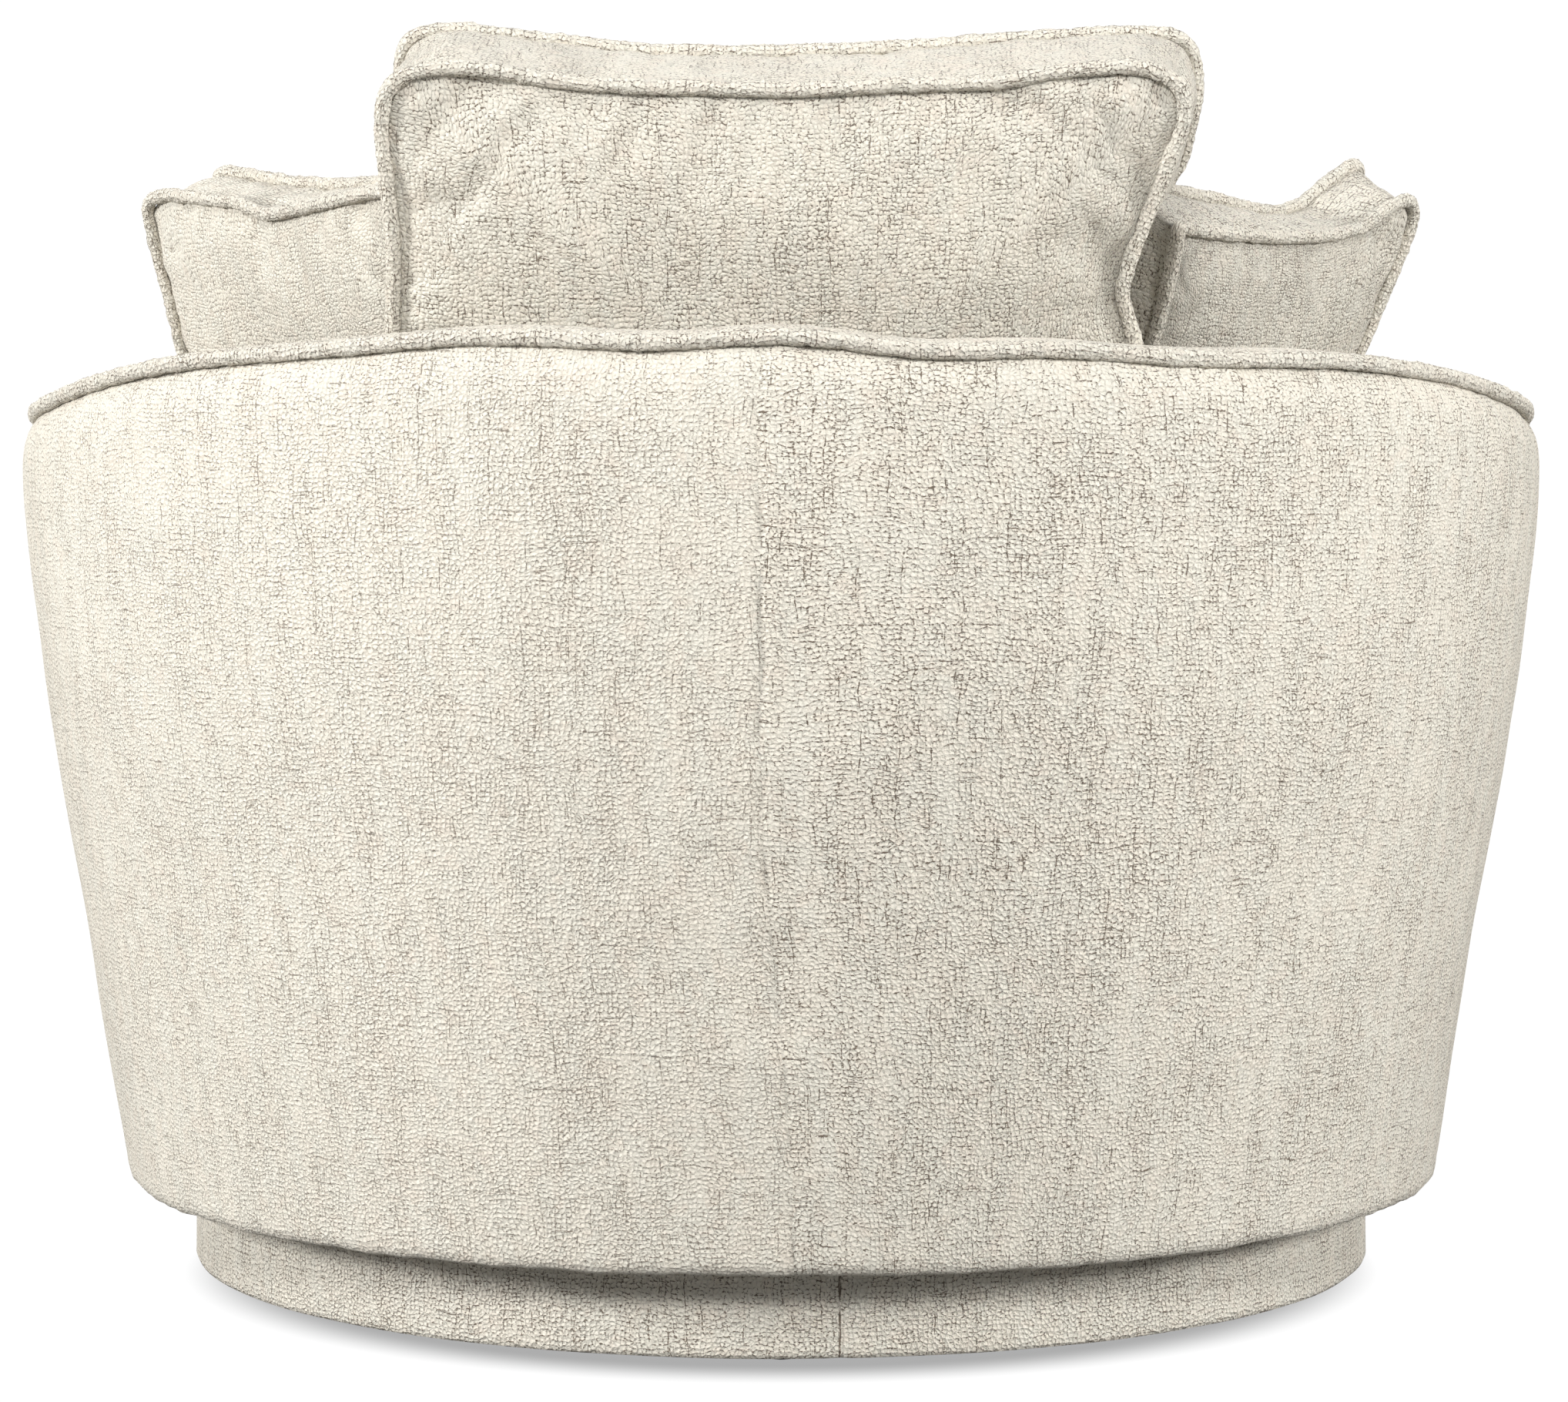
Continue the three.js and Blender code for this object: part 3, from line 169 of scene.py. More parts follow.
def front_path():
    path = foot_path()
    for share in FRONT_WALL_SHARES:
        height = mix(FOOT_HEIGHT, DECK_HEIGHT, share)
        path.append((side_radius(height), height))
    for inward, down in FRONT_EDGE_SHARES:
        path.append((DECK_RADIUS - FRONT_EDGE * inward, DECK_HEIGHT - FRONT_EDGE * down))
    start = DECK_RADIUS - 2 * FRONT_EDGE
    end = INNER_DECK_RADIUS - DECK_CORNER
    count = PATH_POINTS - len(path) - 1
    path += [(mix(start, end, i / (count - 1)), DECK_HEIGHT) for i in range(count)]
    path.append((DECK_LIP_RADIUS, DECK_HEIGHT))
    return path


FRONT_PATH = np.array(front_path())


def wall_share(angle):
    along = (abs(angle) - ARM_START) * ARM_MIDDLE_RADIUS
    share = min(max(along / ARM_FRONT_LENGTH, 0), 1)
    return (1 - share**ARM_FRONT_POWER) ** (1 / ARM_FRONT_POWER)


def path_at(angle):
    """The outline's key points, as radius and height, at an angle round the tub."""
    angle = (angle + math.pi) % (2 * math.pi) - math.pi
    share = wall_share(angle)
    return FRONT_PATH * (1 - share) + np.array(wall_path(angle)) * share


def distances_along(line):
    return np.concatenate([[0], np.cumsum(np.linalg.norm(np.diff(line, axis=0), axis=1))])


def curve_through(points, count):
    """A smooth line through the points, with its own points evenly apart."""
    points = np.asarray(points, float)
    gaps = np.linalg.norm(np.diff(points, axis=0), axis=1)
    knots = np.concatenate([[0], np.cumsum(np.sqrt(np.maximum(gaps, 1e-6)))])
    slopes = np.gradient(points, knots, axis=0)
    t = np.linspace(0, knots[-1], 12 * len(points))
    index = np.clip(np.searchsorted(knots, t, side="right") - 1, 0, len(points) - 2)
    width = (knots[index + 1] - knots[index])[:, None]
    s = (t - knots[index])[:, None] / width
    a, b = points[index], points[index + 1]
    ma, mb = slopes[index] * width, slopes[index + 1] * width
    fine = (2 * s**3 - 3 * s**2 + 1) * a + (s**3 - 2 * s**2 + s) * ma
    fine += (3 * s**2 - 2 * s**3) * b + (s**3 - s**2) * mb
    length = distances_along(fine)
    even = np.linspace(0, length[-1], count)
    return np.stack([np.interp(even, length, fine[:, k]) for k in range(points.shape[1])], axis=1), even


# Meshes


def grid_faces(rows, columns, closed=False):
    r, c = np.meshgrid(np.arange(rows - 1), np.arange(columns if closed else columns - 1), indexing="ij")
    n = (c + 1) % columns
    here, above = r * columns, (r + 1) * columns
    return np.stack([here + c, here + n, above + n, above + c], -1).reshape(-1, 4)


def make_mesh(name, points, faces, uvs, material):
    """A mesh of quads. uvs holds each face corner's place on the cloth, in metres."""
    mesh = bpy.data.meshes.new(name)
    mesh.from_pydata(np.asarray(points, float).tolist(), [], np.asarray(faces).tolist())
    layer = mesh.uv_layers.new(name="cloth")
    layer.data.foreach_set("uv", np.asarray(uvs, np.float32).ravel())
    mesh.polygons.foreach_set("use_smooth", [True] * len(mesh.polygons))
    mesh.materials.append(material)
    mesh.update()
    made = bpy.data.objects.new(name, mesh)
    bpy.context.scene.collection.objects.link(made)
    return made


def grid_piece(name, points, uvs, material, closed=False):
    """A sheet from rows and columns of points. A closed one has one more column of places on the cloth."""
    rows, columns = points.shape[:2]
    faces = grid_faces(rows, columns, closed)
    corners = uvs.reshape(-1, 2)[grid_faces(rows, uvs.shape[1])]
    return make_mesh(name, points.reshape(-1, 3), faces, corners, material)


def smooth_noise(x, y, z=0.0):
    return noise.noise(Vector((x, y, z)))


# Chenille


class Graph:
    """Short names for making shader nodes."""

    def __init__(self, material):
        self.tree = material.node_tree
        self.tree.nodes.clear()

    def link(self, value, socket):
        if isinstance(value, bpy.types.NodeSocket):
            self.tree.links.new(value, socket)
        elif value is not None:
            socket.default_value = value

    def node(self, kind, settings=None, **inputs):
        made = self.tree.nodes.new("ShaderNode" + kind)
        for key, value in (settings or {}).items():
            setattr(made, key, value)
        for key, value in inputs.items():
            self.link(value, made.inputs[key.replace("_", " ")])
        return made

    def math(self, operation, *values, clamp=False):
        made = self.tree.nodes.new("ShaderNodeMath")
        made.operation = operation
        made.use_clamp = clamp
        for i, value in enumerate(values):
            self.link(value, made.inputs[i])
        return made.outputs[0]

    def ramp(self, value, low, high):
        made = self.node("MapRange", {"interpolation_type": "SMOOTHSTEP"})
        for i, v in enumerate((value, low, high, 0.0, 1.0)):
            self.link(v, made.inputs[i])
        return made.outputs[0]

    def place(self, x, y, z=0.0):
        return self.node("CombineXYZ", X=x, Y=y, Z=z).outputs[0]

    def noise(self, place, scale=1.0, detail=0.0, roughness=0.5):
        settings = {"noise_dimensions": "3D"}
        return self.node("TexNoise", settings, Vector=place, Scale=scale, Detail=detail, Roughness=roughness)

    def camera_only(self, lit, seen):
        """One shader that lights the scene, and another that the camera sees in its place."""
        made = self.node("MixShader")
        for i, value in enumerate((self.node("LightPath").outputs["Is Camera Ray"], lit, seen)):
            self.link(value, made.inputs[i])
        return made.outputs[0]

    def mix(self, share, a, b, blend="MIX"):
        made = self.node("Mix", {"data_type": "RGBA", "blend_type": blend})
        for i, value in ((0, share), (6, a), (7, b)):
            self.link(value, made.inputs[i])
        return made.outputs[2]


CREAM = (0.815, 0.772, 0.680, 1)
CREAM_COOL = (0.800, 0.770, 0.685, 1)
CREAM_WARM = (0.800, 0.742, 0.650, 1)
FLECK = (0.165, 0.130, 0.095, 1)
ROW_MM = 3.4
NUB_MM = 3.6
NUB_JITTER = 0.74
TICK_MM = 1.6
STRAND_MM = 6.5
SEAM_THREADS_MM = (-0.9, 1.2)
SEAM_THREAD_WANDER_MM = 2.4

# How the weave drifts: the size of each drift and how far it goes, in mm, and its noise detail
DRIFTS = ((55, 8.0, 0.0), (11, 3.0, 0.0), (1.3, 0.9, 1.0))

# Sizes of patches in mm, across and along the cloth
AREA_MM = 95
STREAK_MM = (19.0, 130.0)
DASH_MM = (7.0, 2.6)
STITCH_MM = (2.8, 13.0)
STRAND_RUN_MM = (6.0, 26.0)
HUE_MM = (15.0, 60.0)
WARMTH_MM = 14
GRAIN_MM = 0.9
SPECK_MM = 1.9
LUMP_MM = 3.4

# Where a tone starts and where it is full
THIN_GAP = (0.06, 0.20)
BROAD_GAP = (0.10, 0.26)
LYING_GAP = (-0.06, 0.10)
DASH_SHOWS = (0.62, 0.86)
STITCH_SHOWS = (0.69, 0.86)
TICK_SHOWS = (0.10, 0.34)
STRAND_WIDTH = (0.02, 0.10)
STRANDS_SHOW = ((0.82, 0.94), (0.86, 0.98))
SPECK_SHOWS = (0.36, 0.62)
# Painted shade: how far the darkening in the gaps between the nubs reaches
GAP_SHADE_DEPTH = (0.08, 0.42)
SEAM_THREAD_WIDTH = (0.25, 0.95)
SEAM_THREAD_SHOWS = (0.52, 0.78)
HUE_TURNS = (0.35, 0.65)
WARMTH_TURNS = (0.50, 0.72)
NUB_DOME = (0.0, 0.85)
NUB_EDGE = (-0.12, 0.34)

STREAK_BIAS = 0.30
AREA_BIAS = 0.22
RELIEF_MM = 1.7
CLOTH_ROUGHNESS = 0.92
CLOTH_SPECULAR = 0.18
CLOTH_SHEEN = 0.22
CLOTH_SHEEN_ROUGHNESS = 0.55
CLOTH_SHEEN_TINT = (1.0, 0.97, 0.92, 1)


def chenille(name, seed, flecks=1.0, relief=1.0, painted_lightness=1.0, stitched=False):
    """Cream chenille: soft nubs, thin dark yarns that show in dashes, ticks and strands, and painted shade
    in the gaps between the nubs.
    """
    material = bpy.data.materials.new(name)
    material.use_nodes = True
    g = Graph(material)
    split = g.node("SeparateXYZ", Vector=g.node("UVMap", {"uv_map": "cloth"}).outputs[0])
    cloth_u = g.math("MULTIPLY", split.outputs[0], 1000.0)
    cloth_v = g.math("MULTIPLY", split.outputs[1], 1000.0)
    flat = g.place(cloth_u, cloth_v, seed * 31.7)
    drifts = []
    for size, move, detail in DRIFTS:
        drifts.append((g.node("SeparateColor", Color=g.noise(flat, 1 / size, detail).outputs[1]), move))

    def drifted(value, channel):
        for drift, move in drifts:
            value = g.math("MULTIPLY_ADD", drift.outputs[channel], move, value)
        return value

    u, v = drifted(cloth_u, 0), drifted(cloth_v, 1)

    def patches(across, along, sizes, step, detail=1.0):
        """Noise in patches of two sizes in mm, across and along the cloth."""
        place = g.place(g.math("DIVIDE", across, sizes[0]), g.math("DIVIDE", along, sizes[1]), seed + step)
        return g.noise(place, 1.0, detail).outputs[0]

    def fading(value, span):
        return g.math("SUBTRACT", 1.0, g.ramp(value, *span))

    # Nubs are the cells of a loose grid. Their gaps lie along a row or stand between two nubs.
    cell = g.place(g.math("DIVIDE", u, NUB_MM), g.math("DIVIDE", v, ROW_MM))
    nubs = g.node("TexVoronoi", {"voronoi_dimensions": "2D"}, Vector=cell, Scale=1.0, Randomness=NUB_JITTER)
    edges = {"voronoi_dimensions": "2D", "feature": "DISTANCE_TO_EDGE"}
    edge = g.node("TexVoronoi", edges, Vector=cell, Scale=1.0, Randomness=NUB_JITTER).outputs["Distance"]
    inside = g.node("VectorMath", {"operation": "SUBTRACT"})
    g.link(cell, inside.inputs[0])
    g.link(nubs.outputs["Position"], inside.inputs[1])
    apart = g.node("SeparateXYZ", Vector=inside.outputs[0])
    steep = g.math("SUBTRACT", g.math("ABSOLUTE", apart.outputs[1]), g.math("ABSOLUTE", apart.outputs[0]))
    lying = g.ramp(steep, *LYING_GAP)
    standing = g.math("SUBTRACT", 1.0, lying)

    # Where the dark yarns show
    area = g.noise(flat, 1 / AREA_MM, 2.0).outputs[0]
    uneven = g.math("MULTIPLY", area, AREA_BIAS)
    bias = g.math("MULTIPLY_ADD", patches(u, v, STREAK_MM, 0), STREAK_BIAS, uneven)
    stitch = patches(u, v, STITCH_MM, 4)
    dash_on = g.ramp(g.math("ADD", patches(u, v, DASH_MM, 0), bias), *DASH_SHOWS)
    stitch_on = g.ramp(g.math("ADD", stitch, bias), *STITCH_SHOWS)
    tick = g.ramp(g.math("PINGPONG", g.math("DIVIDE", v, TICK_MM), 0.5), *TICK_SHOWS)
    ticked = g.math("MULTIPLY", fading(edge, BROAD_GAP), g.math("MULTIPLY_ADD", tick, 0.75, 0.25))
    dark = g.math("MULTIPLY", g.math("MULTIPLY", fading(edge, THIN_GAP), lying), dash_on)
    dark = g.math("MAXIMUM", dark, g.math("MULTIPLY", g.math("MULTIPLY", ticked, standing), stitch_on))
    for across, along, step, span in ((u, v, 11, STRANDS_SHOW[0]), (v, u, 17, STRANDS_SHOW[1])):
        yarns = {"voronoi_dimensions": "1D", "feature": "DISTANCE_TO_EDGE"}
        gap = g.node("TexVoronoi", yarns, W=g.math("DIVIDE", across, STRAND_MM), Scale=1.0)
        strand = fading(gap.outputs["Distance"], STRAND_WIDTH)
        strand_on = g.ramp(g.math("ADD", patches(across, along, STRAND_RUN_MM, step, 0.0), bias), *span)
        dark = g.math("MAXIMUM", dark, g.math("MULTIPLY", strand, strand_on))
    grain = g.noise(flat, 1 / GRAIN_MM, 2.0, 0.65).outputs[0]
    specks = g.ramp(g.noise(flat, 1 / SPECK_MM, 1.0).outputs[0], *SPECK_SHOWS)
    dark = g.math("MULTIPLY", dark, g.math("MULTIPLY_ADD", specks, 1.2, 0.2), clamp=True)
    dark = g.math("MULTIPLY", dark, flecks)
    # Painted shade: the gaps between the nubs are darkened a little everywhere, where shade falls between
    # them.
    hollow = fading(g.math("ADD", edge, g.math("MULTIPLY", grain, 0.3)), GAP_SHADE_DEPTH)
    dark = g.math("MAXIMUM", dark, g.math("MULTIPLY", hollow, g.math("MULTIPLY_ADD", specks, 0.17, 0.08)))
    for thread in SEAM_THREADS_MM if stitched else ():
        wander = g.math("SUBTRACT", drifts[1][0].outputs[1], 0.5)
        off = g.math("ABSOLUTE", g.math("SUBTRACT", cloth_u, thread))
        off = g.math("MULTIPLY_ADD", wander, SEAM_THREAD_WANDER_MM, off)
        line = fading(g.math("ABSOLUTE", off), SEAM_THREAD_WIDTH)
        shows = g.ramp(g.math("ADD", stitch, g.math("MULTIPLY", grain, 0.5)), *SEAM_THREAD_SHOWS)
        dark = g.math("MAXIMUM", dark, g.math("MULTIPLY", line, shows))

    hue = g.ramp(patches(u, v, HUE_MM, 7, 0.0), *HUE_TURNS)
    warmth = g.ramp(g.noise(flat, 1 / WARMTH_MM, 2.0).outputs[0], *WARMTH_TURNS)
    colour = g.mix(warmth, g.mix(hue, CREAM, CREAM_COOL), CREAM_WARM)
    colour = g.mix(dark, colour, FLECK)
    # Painted light: the whole colour is made lighter for parts that the lamps leave darker than wanted.
    if painted_lightness != 1.0:
        colour = g.mix(1.0, colour, (painted_lightness,) * 3 + (1,), "MULTIPLY")

    dome = fading(nubs.outputs["Distance"], NUB_DOME)
    nub = g.math("MULTIPLY_ADD", g.ramp(edge, *NUB_EDGE), 0.25, g.math("MULTIPLY", dome, 0.6))
    lump = g.noise(flat, 1 / LUMP_MM, 1.0).outputs[0]
    height = g.math("MULTIPLY_ADD", grain, 0.9, g.math("MULTIPLY_ADD", lump, 1.1, nub))
    bump = g.node("Bump", Strength=1.0, Distance=RELIEF_MM * MM * relief, Height=height).outputs[0]
    shader = g.node("BsdfPrincipled", Base_Color=colour, Roughness=CLOTH_ROUGHNESS, Normal=bump)
    shader.inputs["Specular IOR Level"].default_value = CLOTH_SPECULAR
    shader.inputs["Sheen Weight"].default_value = CLOTH_SHEEN
    shader.inputs["Sheen Roughness"].default_value = CLOTH_SHEEN_ROUGHNESS
    shader.inputs["Sheen Tint"].default_value = CLOTH_SHEEN_TINT
    out = g.node("OutputMaterial")
    g.link(shader.outputs[0], out.inputs[0])
    return material


# One cream chenille in lighter copies: painted_lightness is painted light, set for each part.
TUB_CLOTH = chenille("tub_chenille", 1, relief=0.82, painted_lightness=1.02)
# The left outer cover has fewer flecks: partly the cloth's own uneven flecks, partly painted highlight for
# the bright light that washes flecks out on that side.
TUB_LEFT_CLOTH = chenille("tub_left_chenille", 9, flecks=0.85, relief=0.78, painted_lightness=1.02)
PLINTH_CLOTH = chenille("plinth_chenille", 6, painted_lightness=1.08, stitched=True)
BACK_CLOTH = chenille("back_chenille", 2, painted_lightness=1.05)
LOOSE_CLOTH = chenille("loose_chenille", 3, flecks=0.8, painted_lightness=1.08)
LOOSE_RIGHT_CLOTH = chenille("loose_right_chenille", 5, flecks=1.1, relief=1.2, painted_lightness=1.06)
PIPING_CLOTH = chenille("piping_chenille", 4, relief=1.2, painted_lightness=1.08)

PLAIN_BUMP = 0.5 * MM
PLAIN_BUMP_STRENGTH = 0.3


def plain(name, colour, roughness, metallic=0.0, grain=0.0, scale=60.0):
    """A finish for the pieces under the covers, with a fine grain that darkens it a little."""
    material = bpy.data.materials.new(name)
    material.use_nodes = True
    g = Graph(material)
    place = g.node("TexCoord").outputs["Object"]
    pattern = g.noise(place, scale, 4.0).outputs[0]
    dark = tuple(c * (1 - grain) for c in colour) + (1,)
    shade = g.mix(pattern, colour + (1,), dark)
    bump = g.node("Bump", Strength=PLAIN_BUMP_STRENGTH, Distance=PLAIN_BUMP, Height=pattern).outputs[0]
    shader = g.node("BsdfPrincipled", Base_Color=shade, Roughness=roughness, Metallic=metallic, Normal=bump)
    out = g.node("OutputMaterial")
    g.link(shader.outputs[0], out.inputs[0])
    return material


HIDDEN_FINISHES = {
    "ply": plain("birch_ply", (0.60, 0.43, 0.25), 0.65, grain=0.35, scale=90.0),
    "millboard": plain("millboard", (0.30, 0.22, 0.14), 0.85, grain=0.3, scale=200.0),
    "seat_foam": plain("foam", (0.78, 0.70, 0.42), 0.95, grain=0.2, scale=700.0),
    "fibre_filling": plain("fibre", (0.86, 0.86, 0.83), 0.95, grain=0.12, scale=300.0),
    "grey_felt": plain("felt", (0.16, 0.15, 0.14), 0.95, grain=0.4, scale=500.0),
    "black_cloth": plain("dust_cloth", (0.015, 0.015, 0.015), 0.9, grain=0.4, scale=900.0),
    "black_nylon": plain("nylon", (0.02, 0.02, 0.02), 0.45),
    "steel": plain("zinc_steel", (0.52, 0.53, 0.54), 0.35, metallic=1.0, grain=0.15, scale=300.0),
}
slot_of = {row["node"]: row["material_slot"] for row in frame["record"]["subparts"]}
for node, obj in frame["nodes"].items():
    finish = HIDDEN_FINISHES.get(slot_of.get(node))
    if finish:
        obj.data.materials.clear()
        obj.data.materials.append(finish)

# Tub covers


def on_tub(angle, radius, height):
    return (radius * math.sin(angle), radius * math.cos(angle), height)


# The centre-back seam: pairs of a height and a place to the side in mm
SEAM_LINE = [
    (0.067, -10), (0.10, -8), (0.13, -9), (0.30, 6), (0.36, 12), (0.42, 13), (0.46, 15), (0.49, 12),
    (0.53, 14), (0.58, 13), (0.62, 15), (0.66, 16), (0.711, 12),
]
SEAM_LINE_RADIUS = 0.57
HEM_REACH = 0.014
PUCKER_REACH = 0.028
PIPING_DENT_MM = 3.4
PIPING_DENT_WIDTH = 0.009
SEAM_DENT_WIDTH = 0.0035
SEAM_RIDGE_PLACE = 0.008
SEAM_RIDGE_WIDTH = 0.005
SEAM_PULL_MM = 2.0
SEAM_PULL_REACH = 0.022


def seam_angle(height):
    """The centre-back seam wanders a little to the sides on its way down."""
    return MM * from_table(height, SEAM_LINE) / SEAM_LINE_RADIUS


def hem_wave(angle, height):
    """How far the tub's lower edge dips and lifts as the cloth turns under it."""
    near = math.exp(-max(height - BOTTOM_HEIGHT, 0) / HEM_REACH)
    return near * MM * (1.5 * smooth_noise(angle * 9, 7.7) + 1.6 * smooth_noise(angle * 34, 2.2))


def bell(distance, width):
    return math.exp(-((distance / width) ** 2))


def cloth_relief(x, y, z, angle, off, edge, seed):
    """How far the cloth stands out, in mm: undulation, puckers at the piping, and the centre seam's dent."""
    move = smooth_noise(x * 7 + seed, y * 7, z * 7) * 2.4
    move += smooth_noise(x * 24 + seed, y * 24, z * 16) * 0.8
    move += smooth_noise(angle * 19 + seed, z * 9) * 2.4 * math.exp(-edge / PUCKER_REACH)
    move -= (0.8 + 1.1 * smooth_noise(z * 34, 5.5)) * bell(off, SEAM_DENT_WIDTH)
    move += (0.9 + 0.8 * smooth_noise(z * 46, 1.5)) * bell(off - SEAM_RIDGE_PLACE, SEAM_RIDGE_WIDTH)
    move += smooth_noise(z * 26 + seed, 3.1) * SEAM_PULL_MM * math.exp(-abs(off) / SEAM_PULL_REACH)
    return move - PIPING_DENT_MM * bell(edge, PIPING_DENT_WIDTH)


def softened(points, angles, seam_distance, edge_distance, seed):
    """The cloth moved in and out by its relief, and up and down along the hem."""
    rows, columns = points.shape[:2]
    made = points.copy()
    for i in range(rows):
        for k in range(columns):
            x, y, z = points[i, k]
            angle = angles[i, k]
            out = MM * cloth_relief(x, y, z, angle, seam_distance[i, k], edge_distance[i, k], seed)
            made[i, k] = (x + out * math.sin(angle), y + out * math.cos(angle), z + hem_wave(angle, z))
    return made


SEAM_BAND = 0.075
SEAM_COLUMNS = 34
ARM_COLUMNS = 24
SEAM_SHIFT_END = 0.5
OUTER_CLOTH_RADIUS = 0.56
INNER_CLOTH_RADIUS = 0.52
SEAM_CLOTH_PLACE = 0.2


def cloth_across(points, angles, radius):
    """Places across the cloth: by the angle round the wall, and by true length over the arm fronts."""
    steps = np.linalg.norm(np.diff(points, axis=1), axis=2)
    between = np.abs(angles[1:] + angles[:-1]) / 2
    steps = np.where(between > ARM_START, steps, radius * np.diff(angles))
    across = np.concatenate([np.zeros((len(points), 1)), np.cumsum(steps, axis=1)], axis=1)
    middle = int(np.argmin(np.abs(angles)))
    return across - across[:, middle : middle + 1] + radius * angles[middle]


def outer_cover(name, side, material, columns=210, rows=110):
    """One half of the outside cover, from the centre-back seam round an arm's front."""
    shape = (rows, columns)
    points, uvs = np.zeros(shape + (3,)), np.zeros(shape + (2,))
    angles, seam_distance, edge_distance = np.zeros(shape), np.zeros(shape), np.zeros(shape)
    near = np.linspace(0, SEAM_BAND, SEAM_COLUMNS, endpoint=False)
    wide = np.linspace(SEAM_BAND, ARM_START, columns - SEAM_COLUMNS - ARM_COLUMNS, endpoint=False)
    ends = np.concatenate([near, wide, np.linspace(ARM_START, COVER_END, ARM_COLUMNS)])
    for k, end in enumerate(ends):
        nominal = side * end
        line, along = curve_through(path_at(nominal)[: SEAM_POINT + 1], rows)
        for i, (radius, height) in enumerate(line):
            shift = seam_angle(height) * max(1 - end / SEAM_SHIFT_END, 0)
            angle = nominal + shift
            points[i, k] = on_tub(angle, radius, height)
            angles[i, k] = angle
            uvs[i, k, 1] = along[i]
            seam_distance[i, k] = abs(nominal) * radius
            edge_distance[i, k] = along[-1] - along[i]
    uvs[:, :, 0] = side * (cloth_across(points, ends, OUTER_CLOTH_RADIUS) + SEAM_CLOTH_PLACE)
    made = softened(points, angles, seam_distance, edge_distance, seed=4.0)
    if side < 0:
        made, uvs = made[:, ::-1], uvs[:, ::-1]
    return grid_piece(name, made, uvs, material)


def covers_between(name, angles, first, last, rows, origin, over_arms=False):
    """A cover between two of the outline's key points, at the given angles."""
    points, uvs = [], []
    for angle in angles:
        line, along = curve_through(path_at(angle)[first : last + 1], rows)
        points.append([on_tub(angle, r, z + hem_wave(angle, z)) for r, z in line])
        uvs.append([(angle * INNER_CLOTH_RADIUS + origin, a) for a in along])
    points = np.array(points).transpose(1, 0, 2)
    uvs = np.array(uvs).transpose(1, 0, 2)
    if over_arms:
        uvs[:, :, 0] = cloth_across(points, angles, INNER_CLOTH_RADIUS) + origin
    return grid_piece(name, points, uvs, TUB_CLOTH)


ARM_FRONT_STEPS = 22


def arm_angles(end, count):
    """Angles from one arm to the other, closer together round the arm fronts."""
    middle = np.linspace(-ARM_START, ARM_START, count)[1:-1]
    front = ARM_START + (end - ARM_START) * np.sin(np.linspace(0, math.pi / 2, ARM_FRONT_STEPS))
    return np.concatenate([-front[::-1], middle, front])


CORD_STEP = 2.2 * MM
CORD_SIDES = 12
CORD_LUMPS = 0.16


def tube(name, line, radius, closed=False, seed=0.0):
    """Piping: a lumpy cord of cloth along a line of points."""
    line = np.asarray(line, float)
    if closed:
        line = np.vstack([line, line[:1]])
    steps = distances_along(line)
    count = int(steps[-1] / CORD_STEP)
    even = np.linspace(0, steps[-1], count, endpoint=not closed)
    line = np.stack([np.interp(even, steps, line[:, k]) for k in range(3)], axis=1)
    for _ in range(2):
        line[1:-1] = (line[:-2] + 2 * line[1:-1] + line[2:]) / 4
    if closed:
        ahead, behind = np.roll(line, -1, axis=0), np.roll(line, 1, axis=0)
    else:
        ahead = np.vstack([line[1:], line[-1:]])
        behind = np.vstack([line[:1], line[:-1]])
    along = ahead - behind
    along /= np.linalg.norm(along, axis=1)[:, None]
    normal = np.zeros_like(line)
    normal[0] = np.cross(along[0], (0.0, 0.0, 1.0))
    if np.linalg.norm(normal[0]) < 1e-3:
        normal[0] = np.cross(along[0], (0.0, 1.0, 0.0))
    normal[0] /= np.linalg.norm(normal[0])
    for i in range(1, count):
        carried = normal[i - 1] - along[i] * np.dot(normal[i - 1], along[i])
        normal[i] = carried / np.linalg.norm(carried)
    other = np.cross(along, normal)
    lengths = distances_along(line)
    points = np.zeros((CORD_SIDES, count, 3))
    for k, turn in enumerate(np.linspace(0, 2 * math.pi, CORD_SIDES, endpoint=False)):
        around = (math.cos(turn) * 0.9, math.sin(turn) * 0.9)
        for i in range(count):
            swell = 1 + CORD_LUMPS * smooth_noise(lengths[i] * 60 + seed, *around)
            swell += 1.3 * CORD_LUMPS * smooth_noise(lengths[i] * 230, 2 * around[0] + seed, 2 * around[1])
            out = normal[i] * math.cos(turn) + other[i] * math.sin(turn)
            points[k, i] = line[i] + radius * swell * out
    faces, corners = [], []
    side_width = 2 * math.pi * radius / CORD_SIDES
    for k in range(CORD_SIDES):
        n = (k + 1) % CORD_SIDES
        v0, v1 = k * side_width, (k + 1) * side_width
        for i in range(count if closed else count - 1):
            j = (i + 1) % count
            faces.append((k * count + i, k * count + j, n * count + j, n * count + i))
            u0, u1 = lengths[i], lengths[i + 1] if i + 1 < count else lengths[i] + lengths[1]
            corners.append([(u0, v0), (u1, v0), (u1, v1), (u0, v1)])
    return make_mesh(name, points.reshape(-1, 3), faces, corners, PIPING_CLOTH)


RIM_PIPING = 5.8 * MM
RIM_PIPING_STANDOFF = 2.6 * MM
RIM_PIPING_PLACES = 420
SMALL_TURN = 0.01


def seam_place(angle):
    radius, height = path_at(angle)[SEAM_POINT]
    return Vector(on_tub(angle, radius, height))


def rim_line():
    """Where the rim piping runs, a little outside the seam."""
    line = []
    for angle in arm_angles(ARM_END, RIM_PIPING_PLACES):
        path = path_at(angle)
        before, after = path[SEAM_POINT - 1], path[SEAM_POINT + 1]
        over = Vector(on_tub(angle, after[0], after[1])) - Vector(on_tub(angle, before[0], before[1]))
        ahead = seam_place(angle + SMALL_TURN) - seam_place(angle - SMALL_TURN)
        up = over.cross(ahead).normalized()
        line.append(seam_place(angle) + up * RIM_PIPING_STANDOFF)
    return line


